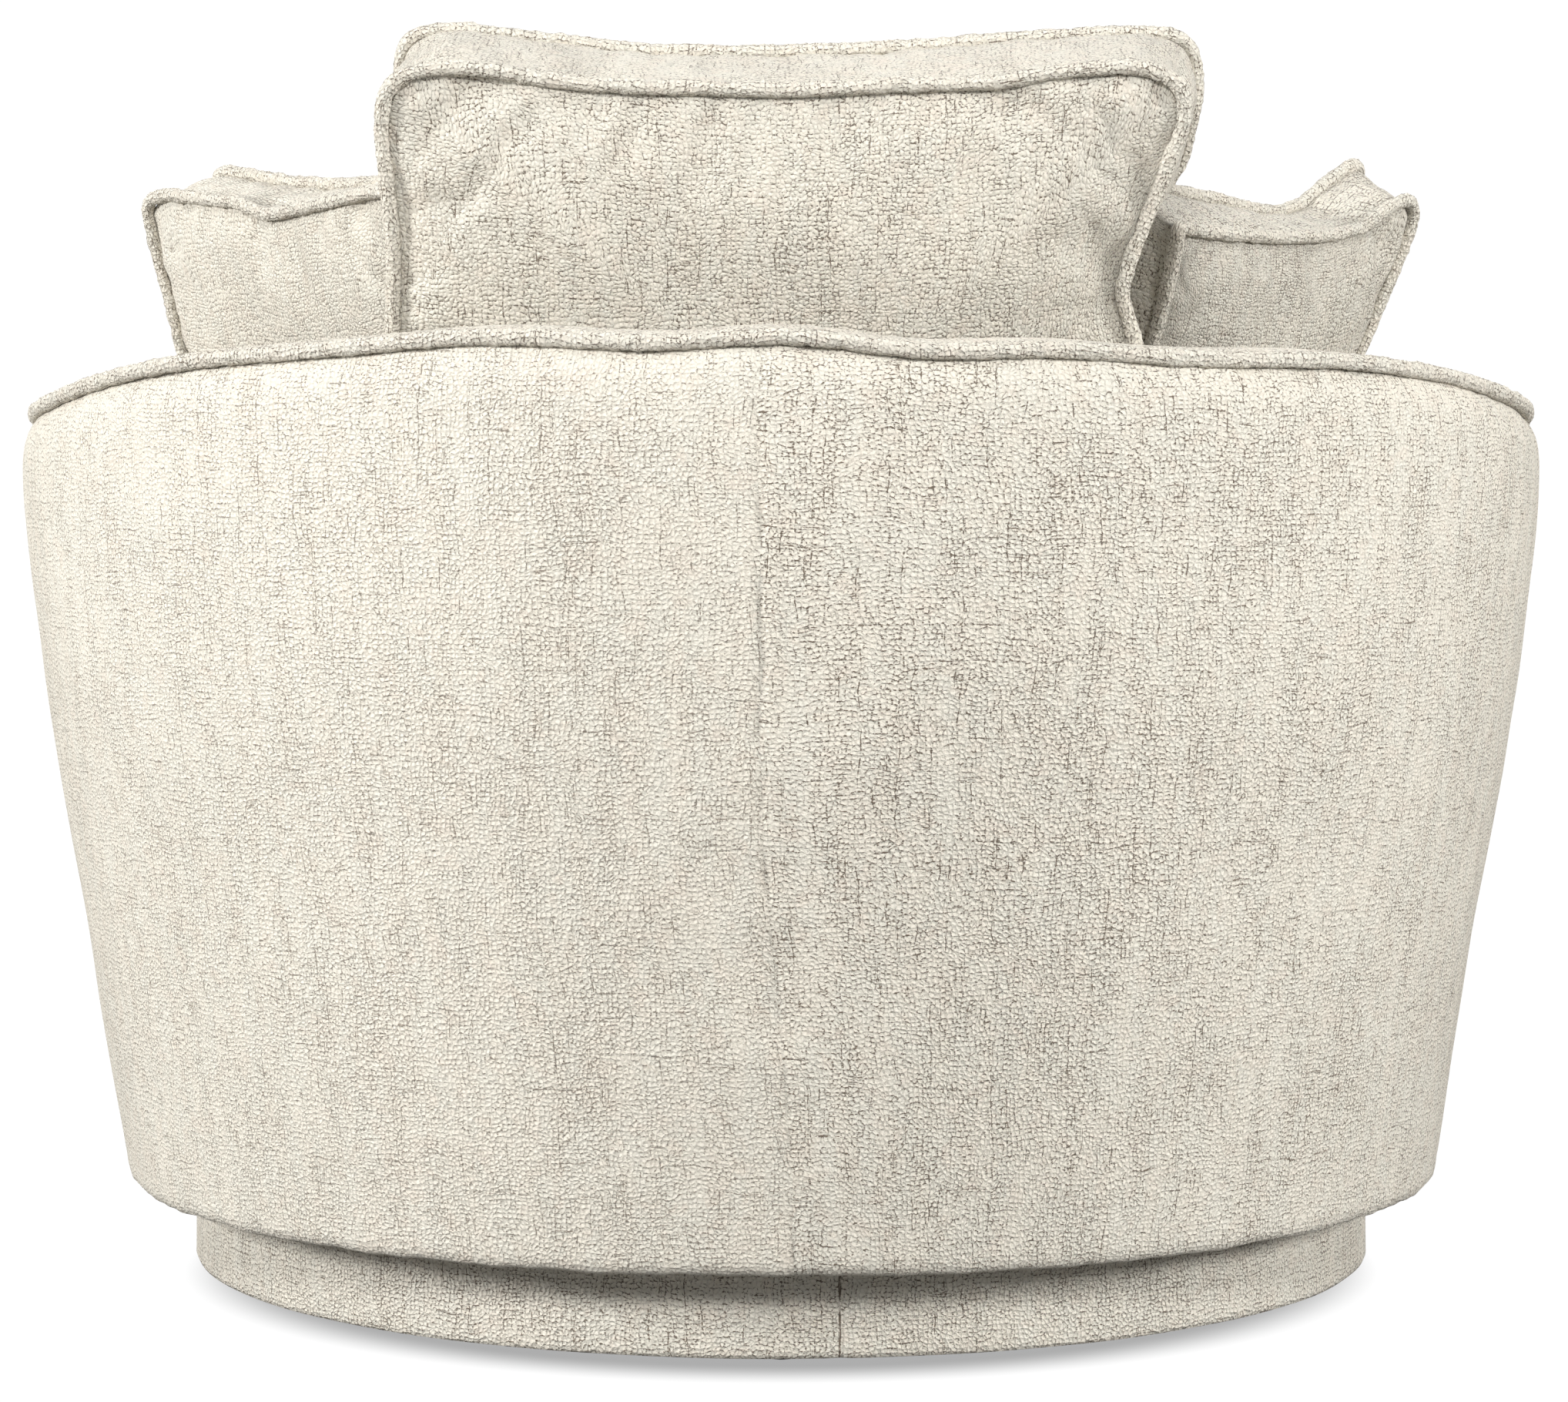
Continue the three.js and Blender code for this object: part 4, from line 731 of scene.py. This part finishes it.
left = outer_cover("outer_cover_left_cloth", 1, TUB_LEFT_CLOTH)
right = outer_cover("outer_cover_right_cloth", -1, TUB_CLOTH)
last_point = PATH_POINTS - 1
wall_angles = arm_angles(COVER_END, 300)
inner = covers_between("inner_cover_cloth", wall_angles, SEAM_POINT, last_point, 70, 3.0, over_arms=True)
front_angles = np.linspace(COVER_END, 2 * math.pi - COVER_END, 130)
border = covers_between("front_border_cloth", front_angles, 0, last_point, 60, 6.0)
piping = tube("rim_piping_cloth", rim_line(), RIM_PIPING)


CENTRE_SHARE = 0.02


def disc(name, radius, height, material, rings=30, sides=96):
    """A flat disc with a weave that runs straight across it."""
    points = np.zeros((rings, sides, 3))
    for i in range(rings):
        reach = radius * (i + CENTRE_SHARE) / (rings - 1 + CENTRE_SHARE)
        for k in range(sides):
            points[i, k] = on_tub(2 * math.pi * k / sides, reach, height)
    faces = grid_faces(rings, sides, closed=True)
    flat = points.reshape(-1, 3)
    return make_mesh(name, flat, faces, flat[faces][:, :, :2], material)


deck = disc("seat_deck_cloth", DECK_LIP_RADIUS, DECK_HEIGHT, TUB_CLOTH)

INNER_NODES = ["inner_cover", "inner_wall_foam", "arm_front_foam_left", "arm_front_foam_right"]
for piece, nodes, slot in (
    (left, ["outer_cover_left"], "cream_chenille"),
    (right, ["outer_cover_right"], "cream_chenille"),
    (inner, INNER_NODES, "cream_chenille"),
    (border, ["front_border_cover"], "cream_chenille"),
    (piping, ["rim_piping"], "cream_piping"),
    (deck, ["seat_deck_cover", "spring_pad"], "cream_chenille"),
):
    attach(piece, "tub")
    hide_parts(*nodes)

# Plinth

PLINTH_SEAM = math.radians(-5.2)
PLINTH_CORNER = 5 * MM
PLINTH_HEM = 0.3 * MM
PLINTH_TOP_TURN = 30 * MM
PLINTH_ROWS = 26
PLINTH_COLUMNS = 360
PLINTH_WALL_SHARES = (0, 0.25, 0.5, 0.75, 1)
PLINTH_DENT_MM = 2.2
PLINTH_DENT_WIDTH = 0.006
PLINTH_CLOTH_PLACE = 9.0


def plinth_outline():
    """The plinth cover's outline, as radius and height, from under its hem to over its top board."""
    low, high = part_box("plinth_cover")
    radius = high.x
    foot, shoulder = low.z + PLINTH_CORNER, high.z - PLINTH_CORNER
    turned = PLINTH_CORNER * 0.3
    outline = [(radius - 9 * MM, PLINTH_HEM + 1.5 * MM), (radius - 4 * MM, PLINTH_HEM)]
    outline.append((radius - 0.5 * MM, PLINTH_HEM + 2 * MM))
    outline += [(radius, mix(foot, shoulder, share)) for share in PLINTH_WALL_SHARES]
    outline += [(radius - turned, high.z - turned), (radius - PLINTH_CORNER, high.z)]
    return radius, outline + [(radius - PLINTH_TOP_TURN, high.z)]


def plinth_cloth():
    radius, outline = plinth_outline()
    line, along = curve_through(outline, PLINTH_ROWS)
    points = np.zeros((PLINTH_ROWS, PLINTH_COLUMNS, 3))
    uvs = np.zeros((PLINTH_ROWS, PLINTH_COLUMNS + 1, 2))
    step = 2 * math.pi / PLINTH_COLUMNS
    for k in range(PLINTH_COLUMNS + 1):
        angle = PLINTH_SEAM + k * step
        dent = PLINTH_DENT_MM * bell(min(k, PLINTH_COLUMNS - k) * step * radius, PLINTH_DENT_WIDTH)
        for i, (r, z) in enumerate(line):
            soft = smooth_noise(angle * 6, z * 14) * 1.2 - dent
            if k < PLINTH_COLUMNS:
                points[i, k] = on_tub(angle, r + soft * MM, z)
            uvs[i, k] = (k * step * radius, along[i] + PLINTH_CLOTH_PLACE)
    return grid_piece("plinth_cloth", points, uvs, PLINTH_CLOTH, closed=True)


plinth = plinth_cloth()
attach(plinth, "base")
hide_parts("plinth_cover")

# Cushions

CORNER_POWER = 16.0
BEAD = 2 * MM
CUSHION_STEP = 0.0068
CUSHION_CAP = 9 * MM
CUSHION_PRESSURE = 3.2
CUSHION_SHRINK = -0.028
CROWN_POWER = 2.4
LUMPS_MM = 6.0
BORDER_SWELL = 1.0
BORDER_WRINKLE = 3.0
BORDER_BELLY = 2.5
BORDER_CAP = 4 * MM
FACE_PUCKER_MM = 2.6
FACE_PUCKER_SHARE = 0.07
CUSHION_PIPING = 5.6 * MM
PIPING_STANDOFF = 3.4 * MM
PIPING_LIFT = 0.5


def node_points(node):
    mesh = frame["nodes"][node].data
    points = np.zeros(len(mesh.vertices) * 3)
    mesh.vertices.foreach_get("co", points)
    return points.reshape(-1, 3)


def own_frame(node, turn):
    """The place and the half sizes of a cushion's CAD solid, along its own axes."""
    axes = np.array(turn.to_3x3())
    local = node_points(node) @ axes
    low, high = local.min(0), local.max(0)
    middle = axes @ ((low + high) / 2)
    return Matrix.Translation(Vector(middle)) @ turn, (high - low) / 2


def square_reach(s, t):
    """From a place on the unit square to one in a square with round corners."""
    m = max(abs(s), abs(t))
    if m < 1e-9:
        return 0.0, 0.0
    a, b = s / m, t / m
    shrink = (abs(a) ** CORNER_POWER + abs(b) ** CORNER_POWER) ** (-1 / CORNER_POWER)
    return s * shrink, t * shrink


ALONG_FIRST = ((0, 0), (1, 0), (1, 1), (0, 1))
UP_FIRST = ((0, 0), (0, 1), (1, 1), (1, 0))


def box_grid(*counts):
    """A grid over a box's surface: places from -1 to 1, faces, and the axis that each face lies across."""
    index, places, faces, sides = {}, [], [], []

    def vertex(key):
        if key not in index:
            index[key] = len(places)
            places.append([2 * n / count - 1 for n, count in zip(key, counts)])
        return index[key]

    for side, across, along, up, turns in (
        ("y", 1, 0, 2, ALONG_FIRST),
        ("x", 0, 1, 2, UP_FIRST),
        ("z", 2, 0, 1, UP_FIRST),
    ):
        for level in (0, counts[across]):
            for i, j in itertools.product(range(counts[along]), range(counts[up])):
                quad = []
                for step, rise in turns:
                    key = {across: level, along: i + step, up: j + rise}
                    quad.append(vertex((key[0], key[1], key[2])))
                faces.append(quad if level == 0 else quad[::-1])
                sides.append(side)
    return np.array(places), np.array(faces), sides, index


def seam_keys(nx, ny, nz, j):
    """The grid keys along one face's edge, all the way round."""
    keys = [(i, j, 0) for i in range(nx)]
    keys += [(nx, j, k) for k in range(nz)]
    keys += [(i, j, nz) for i in range(nx, 0, -1)]
    keys += [(0, j, k) for k in range(nz, 0, -1)]
    return keys


def inflate(obj, cap, pressure, shrink, pinned, frames=16):
    """Blows the cover up like a stuffed cushion, and limits how far it may move."""
    mesh = obj.data
    rest = np.zeros(len(mesh.vertices) * 3)
    mesh.vertices.foreach_get("co", rest)
    rest = rest.reshape(-1, 3)
    group = obj.vertex_groups.new(name="held")
    group.add([int(i) for i in pinned], 1.0, "REPLACE")
    cloth = obj.modifiers.new("cloth", "CLOTH")
    setup = cloth.settings
    setup.quality = 6
    setup.mass = 0.3
    setup.tension_stiffness = 12
    setup.compression_stiffness = 12
    setup.shear_stiffness = 5
    setup.bending_stiffness = 0.4
    setup.use_pressure = True
    setup.uniform_pressure_force = pressure
    setup.shrink_min = shrink
    setup.effector_weights.gravity = 0
    setup.vertex_group_mass = "held"
    setup.pin_stiffness = 1.2
    cloth.collision_settings.use_collision = False
    cloth.collision_settings.use_self_collision = False
    cloth.point_cache.frame_start = 1
    cloth.point_cache.frame_end = frames
    scene = bpy.context.scene
    for step in range(1, frames + 1):
        scene.frame_set(step)
    bpy.context.view_layer.update()
    evaluated = obj.evaluated_get(bpy.context.evaluated_depsgraph_get())
    moved = np.zeros(len(rest) * 3)
    evaluated.data.vertices.foreach_get("co", moved)
    moved = moved.reshape(-1, 3) - rest
    length = np.linalg.norm(moved, axis=1)[:, None]
    moved *= np.minimum(1, cap / np.maximum(length, 1e-9))
    obj.modifiers.remove(cloth)
    scene.frame_set(1)
    mesh.vertices.foreach_set("co", (rest + moved).astype(np.float32).ravel())
    mesh.update()


def boxed_cushion(name, parts, body, turn, draw, crowns, seams, cloth, seed):
    """A cushion of two faces and a border, piped on both seams. Crowns and seams are the rear face's and the
    front face's, and each seam is a function that says how far a place on it moves."""
    rear_crown, front_crown = crowns
    rear_seam, front_seam = seams
    place, half = own_frame(parts[0], turn)
    place = place @ Matrix.Translation((0, (front_crown - rear_crown) / 2, 0))
    width, height = half[0] - BEAD, half[2] - BEAD
    thick = half[1] - (rear_crown + front_crown) / 2
    nx, nz, ny = (int(2 * v / CUSHION_STEP) for v in (width, height, thick))
    grid, faces, sides, index = box_grid(nx, ny, nz)
    points = np.zeros_like(grid)
    for n, (s, d, t) in enumerate(grid):
        x, z = square_reach(s, t)
        edge = max(abs(s), abs(t))
        bow_x, bow_z = 1 - draw * (1 - z * z), 1 - draw * (1 - x * x)
        px, pz = x * width * bow_x, z * height * bow_z
        crown = rear_crown if d > 0 else front_crown
        lump = LUMPS_MM * MM * smooth_noise(x * 2.1 + seed, z * 2.1, d)
        rise = crown * (1 - edge**CROWN_POWER) + lump * (1 - edge**4)
        py = d * (thick + rise)
        if abs(d) < 1 or edge > 0.999:
            move = Vector(front_seam(x, z)).lerp(Vector(rear_seam(x, z)), (d + 1) / 2)
            belly = (1 - d * d) * MM
            wrinkle = BORDER_WRINKLE * smooth_noise((x + z) * 9 + seed, (x - z) * 9, d * 0.7)
            swell = (BORDER_SWELL + wrinkle) * belly
            px, pz = px + swell * x * abs(x) ** 3, pz + swell * z * abs(z) ** 3
            py += BORDER_BELLY * belly * smooth_noise(x * 6, z * 6, seed)
        else:
            reach = max(edge, 1e-6)
            move = Vector((rear_seam if d > 0 else front_seam)(x / reach, z / reach)) * edge**3
            near = math.exp(-((1 - edge) / FACE_PUCKER_SHARE))
            py += d * FACE_PUCKER_MM * MM * smooth_noise(x * 13 + seed, z * 13, 4.4) * near
        points[n] = (px + move.x, py + move.y, pz + move.z)
    half_sizes = {"x": (1, 2), "y": (0, 2), "z": (0, 1)}
    scaled = grid * np.array([width, thick, height])
    uvs = np.zeros((len(faces), 4, 2))
    for f, side in enumerate(sides):
        a, b = half_sizes[side]
        corner = scaled[faces[f]]
        uvs[f, :, 0], uvs[f, :, 1] = corner[:, a], corner[:, b]
        if side == "x":
            uvs[f] = uvs[f][:, ::-1] + 1.3
        elif side == "z":
            uvs[f] += 2.1
    made = make_mesh(name, points, faces, uvs, cloth)
    rear = [index[k] for k in seam_keys(nx, ny, nz, ny)]
    front = [index[k] for k in seam_keys(nx, ny, nz, 0)]
    caps = np.where(np.abs(grid[:, 1:2]) < 1, BORDER_CAP, CUSHION_CAP)
    inflate(made, caps, CUSHION_PRESSURE, CUSHION_SHRINK, rear + front)
    smooth = made.modifiers.new("smooth", "SUBSURF")
    smooth.levels = smooth.render_levels = 1
    made.matrix_world = place
    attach(made, body)
    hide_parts(*parts)
    world = np.array([place @ v.co for v in made.data.vertices])
    axes = np.array(turn.to_3x3())
    for label, loop, way in (("rear", rear, 1), ("front", front, -1)):
        line = world[loop]
        line = (np.roll(line, 1, axis=0) + 2 * line + np.roll(line, -1, axis=0)) / 4
        outward = (line - np.array(place.translation)) @ axes
        outward[:, 1] = 0
        outward /= np.linalg.norm(outward, axis=1)[:, None]
        outward[:, 1] = PIPING_LIFT * way
        line = line + (outward @ axes.T) * PIPING_STANDOFF
        cord = tube(f"{name}_{label}_piping", line, CUSHION_PIPING, closed=True, seed=seed)
        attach(cord, body)
    return made


def seam_moves(top, left=((0, 0),), right=((0, 0),)):
    """Moves one face's seam, in mm. top holds places along the top, from right to left in the camera's view,
    and how far each goes up. left and right hold heights on the sides, and how far each goes out."""

    def move(x, z):
        up = from_table(x, top) * max(z, 0.0) ** 6
        out = from_table(z, left) * max(x, 0.0) ** 6 - from_table(z, right) * max(-x, 0.0) ** 6
        return (MM * out, 0.0, MM * up)

    return move


BACK_LEAN = math.radians(18)
BACK_REAR_TOP = [
    (-1, -10), (-0.93, 1), (-0.8, 8), (-0.6, 6), (-0.46, 0), (-0.22, 0),
    (0, -3.5), (0.3, -2), (0.55, -1), (0.75, 7), (0.9, 6), (1, 1),
]
BACK_FRONT_TOP = [
    (-1, -2), (-0.55, -3), (-0.24, -8), (0.06, -11), (0.37, -11), (0.67, -4), (0.82, 0), (1, 1),
]
BACK_REAR_LEFT = [(-1, 0), (0.1, 5), (0.3, 4), (0.5, 0), (0.8, 1), (1, 2)]
BACK_REAR_RIGHT = [
    (-1, -8), (0, -32), (0.27, -46), (0.37, -56), (0.5, -49), (0.68, -34), (0.78, -28),
    (0.86, -22), (1, -18),
]
BACK_FRONT_RIGHT = [
    (-1, 0), (0, -40), (0.2, -46), (0.32, -46), (0.42, -31), (0.5, -20), (0.6, -4), (0.8, 2), (1, 0),
]
BACK_SEAMS = (
    seam_moves(BACK_REAR_TOP, BACK_REAR_LEFT, BACK_REAR_RIGHT),
    seam_moves(BACK_FRONT_TOP, right=BACK_FRONT_RIGHT),
)
boxed_cushion(
    "back_cushion_cloth",
    ("back_cushion_cover", "back_cushion_filling"),
    "back_cushion",
    Matrix.Rotation(-BACK_LEAN, 4, "X"),
    draw=0.045,
    crowns=(0.020, 0.032),
    seams=BACK_SEAMS,
    cloth=BACK_CLOTH,
    seed=11.0,
)

LEFT_REAR_TOP = [
    (-1, -2), (-0.3, -4), (-0.12, -6), (0.02, -7), (0.12, 0), (0.2, 6), (0.3, 7), (0.5, 10),
    (0.75, 12), (1, 8),
]
LEFT_FRONT_TOP = [(-1, -16), (0, -10), (0.35, -5), (0.6, 0), (0.88, 5), (1, 4)]
LEFT_OUTER = [(0.1, 10), (0.3, 30), (0.45, 34), (0.6, 20), (0.7, 13), (0.87, 2), (1, -5)]
LEFT_INNER = [(-1, 0), (0, 6), (1, 9)]
RIGHT_REAR_TOP = [
    (-1, 2), (-0.91, 6), (-0.84, 9), (-0.7, -1), (-0.58, -15), (-0.5, -19), (-0.3, -23),
    (0, -26), (0.5, -29), (1, -33),
]
RIGHT_FRONT_TOP = [
    (-1, 22), (-0.93, 17), (-0.8, -2), (-0.66, -24), (-0.5, -31), (-0.3, -29), (0, -22), (1, -16),
]
RIGHT_REAR_INNER = [(-1, -12), (-0.2, -45), (0.2, -60), (0.5, -52), (0.9, -36), (1, -31)]
RIGHT_FRONT_INNER = [(-1, -4), (0, -12), (0.5, -16), (1, -14)]
RIGHT_FRONT_OUTER = [(0.3, 0), (0.7, 10), (1, 20)]
LEFT_SEAMS = (
    seam_moves(LEFT_REAR_TOP, LEFT_OUTER, LEFT_INNER),
    seam_moves(LEFT_FRONT_TOP, LEFT_OUTER, LEFT_INNER),
)
RIGHT_SEAMS = (
    seam_moves(RIGHT_REAR_TOP, RIGHT_REAR_INNER),
    seam_moves(RIGHT_FRONT_TOP, RIGHT_FRONT_INNER, RIGHT_FRONT_OUTER),
)
SCATTER_TURN = math.radians(54)
SCATTER_LEAN = math.radians(24)
for label, mirror, seams, cloth in (
    ("left", 1, LEFT_SEAMS, LOOSE_CLOTH),
    ("right", -1, RIGHT_SEAMS, LOOSE_RIGHT_CLOTH),
):
    boxed_cushion(
        f"scatter_{label}_cloth",
        (f"scatter_cushion_{label}_cover", f"scatter_cushion_{label}_filling"),
        f"scatter_{label}",
        Matrix.Rotation(-mirror * SCATTER_TURN, 4, "Z") @ Matrix.Rotation(-SCATTER_LEAN, 4, "X"),
        draw=0.05,
        crowns=(0.014, 0.014),
        seams=seams,
        cloth=cloth,
        seed=20.0 + mirror,
    )

# Seat cushion

SEAT_REAR = 0.448
SEAT_SHOULDER = 0.568
SEAT_FRONT = 0.597
SHOULDER_ANGLE = math.radians(129)
SEAT_BORDER = 0.104
SEAT_CROWN_POWER = 2.8
SEAT_LUMPS = 3 * MM
SEAT_BULGE = 5 * MM
SEAT_STANDOFF = 1 * MM
SEAT_GRID = 112
SEAT_GRID_DEPTH = 14
SEAT_CLOTH_RADIUS = 0.55
SEAT_CLOTH_PLACE = 4.0
SEAT_CAP = 6 * MM
SEAT_PRESSURE = 2.0
SEAT_SHRINK = -0.02
SEAT_PIPING = 5.2 * MM


def seat_radius(angle):
    """The seat cushion's outline, by the angle from the middle of the back."""
    angle = abs(angle)
    share = min(max((angle - COVER_END) / (SHOULDER_ANGLE - COVER_END), 0), 1)
    eased = share * share * (3 - 2 * share)
    beyond = min(max((angle - SHOULDER_ANGLE) / (math.pi - SHOULDER_ANGLE), 0), 1)
    front = mix(SEAT_SHOULDER, SEAT_FRONT, math.sin(beyond * math.pi / 2))
    return mix(SEAT_REAR, front, eased)


def square_angle(s, t):
    """The angle from the middle of the back, for a place on a square stretched to a circle."""
    if max(abs(s), abs(t)) < 1e-9:
        return 0.0
    if abs(s) >= abs(t):
        return math.copysign(math.pi / 2, s) - (math.pi / 4) * (t / s)
    return (math.pi / 4) * (s / t) + (0 if t > 0 else math.pi)


def seat_cushion():
    low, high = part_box("seat_cushion_cover")
    bottom, top = low.z, low.z + SEAT_BORDER
    crown = high.z - top
    across, deep = SEAT_GRID, SEAT_GRID_DEPTH
    grid, faces, sides, index = box_grid(across, deep, across)
    points, uvs = np.zeros_like(grid), np.zeros((len(faces), 4, 2))
    flat = np.zeros((len(grid), 2))
    for n, (s, d, t) in enumerate(grid):
        m = max(abs(s), abs(t))
        angle = (square_angle(s, t) + math.pi) % (2 * math.pi) - math.pi
        radius = (seat_radius(angle) - SEAT_STANDOFF) * m
        level = mix(bottom, top, (d + 1) / 2)
        if d >= 1:
            lump = SEAT_LUMPS * smooth_noise(s * 2, t * 2, 5.0)
            level += crown * (1 - m**SEAT_CROWN_POWER) + lump * (1 - m**4)
        points[n] = on_tub(angle, radius + SEAT_BULGE * (1 - d * d), level)
        flat[n] = (radius * math.sin(angle), radius * math.cos(angle))
    for f, side in enumerate(sides):
        corner = faces[f]
        if side == "y":
            uvs[f] = flat[corner]
        else:
            turn = np.arctan2(points[corner, 0], points[corner, 1])
            if turn.max() - turn.min() > math.pi:
                turn = np.where(turn < 0, turn + 2 * math.pi, turn)
            uvs[f, :, 0], uvs[f, :, 1] = turn * SEAT_CLOTH_RADIUS, points[corner, 2] + SEAT_CLOTH_PLACE
    made = make_mesh("seat_cushion_cloth", points, faces, uvs, LOOSE_CLOTH)
    made.data.flip_normals()
    loops = {
        "top": [index[k] for k in seam_keys(across, deep, across, deep)],
        "bottom": [index[k] for k in seam_keys(across, deep, across, 0)],
    }
    inflate(made, SEAT_CAP, SEAT_PRESSURE, SEAT_SHRINK, loops["top"] + loops["bottom"])
    smooth = made.modifiers.new("smooth", "SUBSURF")
    smooth.levels = smooth.render_levels = 1
    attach(made, "seat_cushion")
    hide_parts("seat_cushion_cover", "seat_cushion_core")
    for label, loop in loops.items():
        line = np.array([made.data.vertices[i].co for i in loop])
        cord = tube(f"seat_cushion_{label}_piping", line, SEAT_PIPING, closed=True, seed=31.0)
        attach(cord, "seat_cushion")


seat_cushion()

# Floor, lights and camera

scene = bpy.context.scene
WHITE = (1, 1, 1, 1)
FLOOR_TONE = 1.04
FLOOR_LIT = (0.2, 0.2, 0.2, 1)
# The floor's contact shadow is painted: a darker ring of emission set by distance from the plinth.
SHADOW_OFFSET = 0.075
SHADOW_INNER = 0.405
SHADOW_OUTER = 0.478
SHADOW_TONE = 0.42


def floor():
    """White, with a painted soft contact shadow close to the plinth's foot, in front of it and behind it."""
    bpy.ops.mesh.primitive_plane_add(size=60)
    made = bpy.context.object
    made.name = "floor"
    material = bpy.data.materials.new("floor")
    material.use_nodes = True
    g = Graph(material)
    place = g.node("SeparateXYZ", Vector=g.node("TexCoord").outputs["Object"])
    x, y = place.outputs[0], g.math("SUBTRACT", g.math("ABSOLUTE", place.outputs[1]), SHADOW_OFFSET)
    away = g.math("SQRT", g.math("ADD", g.math("MULTIPLY", x, x), g.math("MULTIPLY", y, y)))
    # Painted shadow: the tone that the camera sees drops towards the plinth's foot.
    clear = g.ramp(away, SHADOW_INNER, SHADOW_OUTER)
    tone = g.math("MULTIPLY_ADD", clear, FLOOR_TONE - SHADOW_TONE, SHADOW_TONE)
    seen = g.node("Emission", Color=WHITE, Strength=tone).outputs[0]
    lit = g.node("BsdfDiffuse", Color=FLOOR_LIT).outputs[0]
    g.link(g.camera_only(lit, seen), g.node("OutputMaterial").inputs[0])
    made.data.materials.append(material)


floor()


LIGHT_AIM = Vector((0, 0, 0.45))
LIGHT_COLOUR = (1.0, 0.99, 0.97)


def area_light(name, bearing, rise, distance, size, power):
    """A round soft light facing the chair. Bearing, from +Y towards +X, and rise are in degrees."""
    light = bpy.data.lights.new(name, "AREA")
    light.shape = "DISK"
    light.size = size
    light.energy = power
    light.color = LIGHT_COLOUR
    obj = bpy.data.objects.new(name, light)
    scene.collection.objects.link(obj)
    across, up = math.radians(bearing), math.radians(rise)
    flat = distance * math.cos(up)
    obj.location = LIGHT_AIM + Vector((*on_tub(across, flat, 0)[:2], distance * math.sin(up)))
    obj.rotation_euler = (LIGHT_AIM - obj.location).to_track_quat("-Z", "Y").to_euler()


area_light("left_softbox", 69, 14, 4.4, 1.1, 186)
area_light("right_softbox", -70, 14, 4.4, 1.1, 128)
area_light("right_fill", -36, 15, 4.6, 0.9, 36)
area_light("camera_softbox", 2, 25, 4.8, 0.9, 114)
area_light("top_softbox", 20, 68, 3.4, 2.4, 26)
area_light("front_softbox", 180, 40, 4.0, 2.4, 80)

SKY_GLOW = 0.25
SKY_LEAST = 0.03
SKY_HEIGHTS = (0.22, 0.60)
BACKDROP_TONE = 1.05

world = bpy.data.worlds.new("studio")
scene.world = world
world.use_nodes = True
sky = Graph(world)
height = sky.node("SeparateXYZ", Vector=sky.node("TexCoord").outputs["Generated"]).outputs[2]
glow = sky.math("MULTIPLY_ADD", sky.ramp(height, *SKY_HEIGHTS), SKY_GLOW, SKY_LEAST)
lit = sky.node("Background", Color=WHITE, Strength=glow).outputs[0]
shown = sky.node("Background", Color=WHITE, Strength=BACKDROP_TONE).outputs[0]
sky.link(sky.camera_only(lit, shown), sky.node("OutputWorld").inputs[0])

CAMERA_DIP = math.radians(3.3)

camera_data = bpy.data.cameras.new("camera")
camera = bpy.data.objects.new("camera", camera_data)
scene.collection.objects.link(camera)
camera.location = (0, 3.5, 0.638)
camera.rotation_euler = (math.pi / 2 - CAMERA_DIP, 0, math.pi)
camera_data.sensor_width = 36
camera_data.lens = 100.4
camera_data.shift_x = 0.0018
camera_data.clip_end = 100
scene.camera = camera

scene.view_settings.view_transform = "Standard"
scene.view_settings.look = "None"
scene.view_settings.exposure = 0.0
scene.view_settings.gamma = 1.0
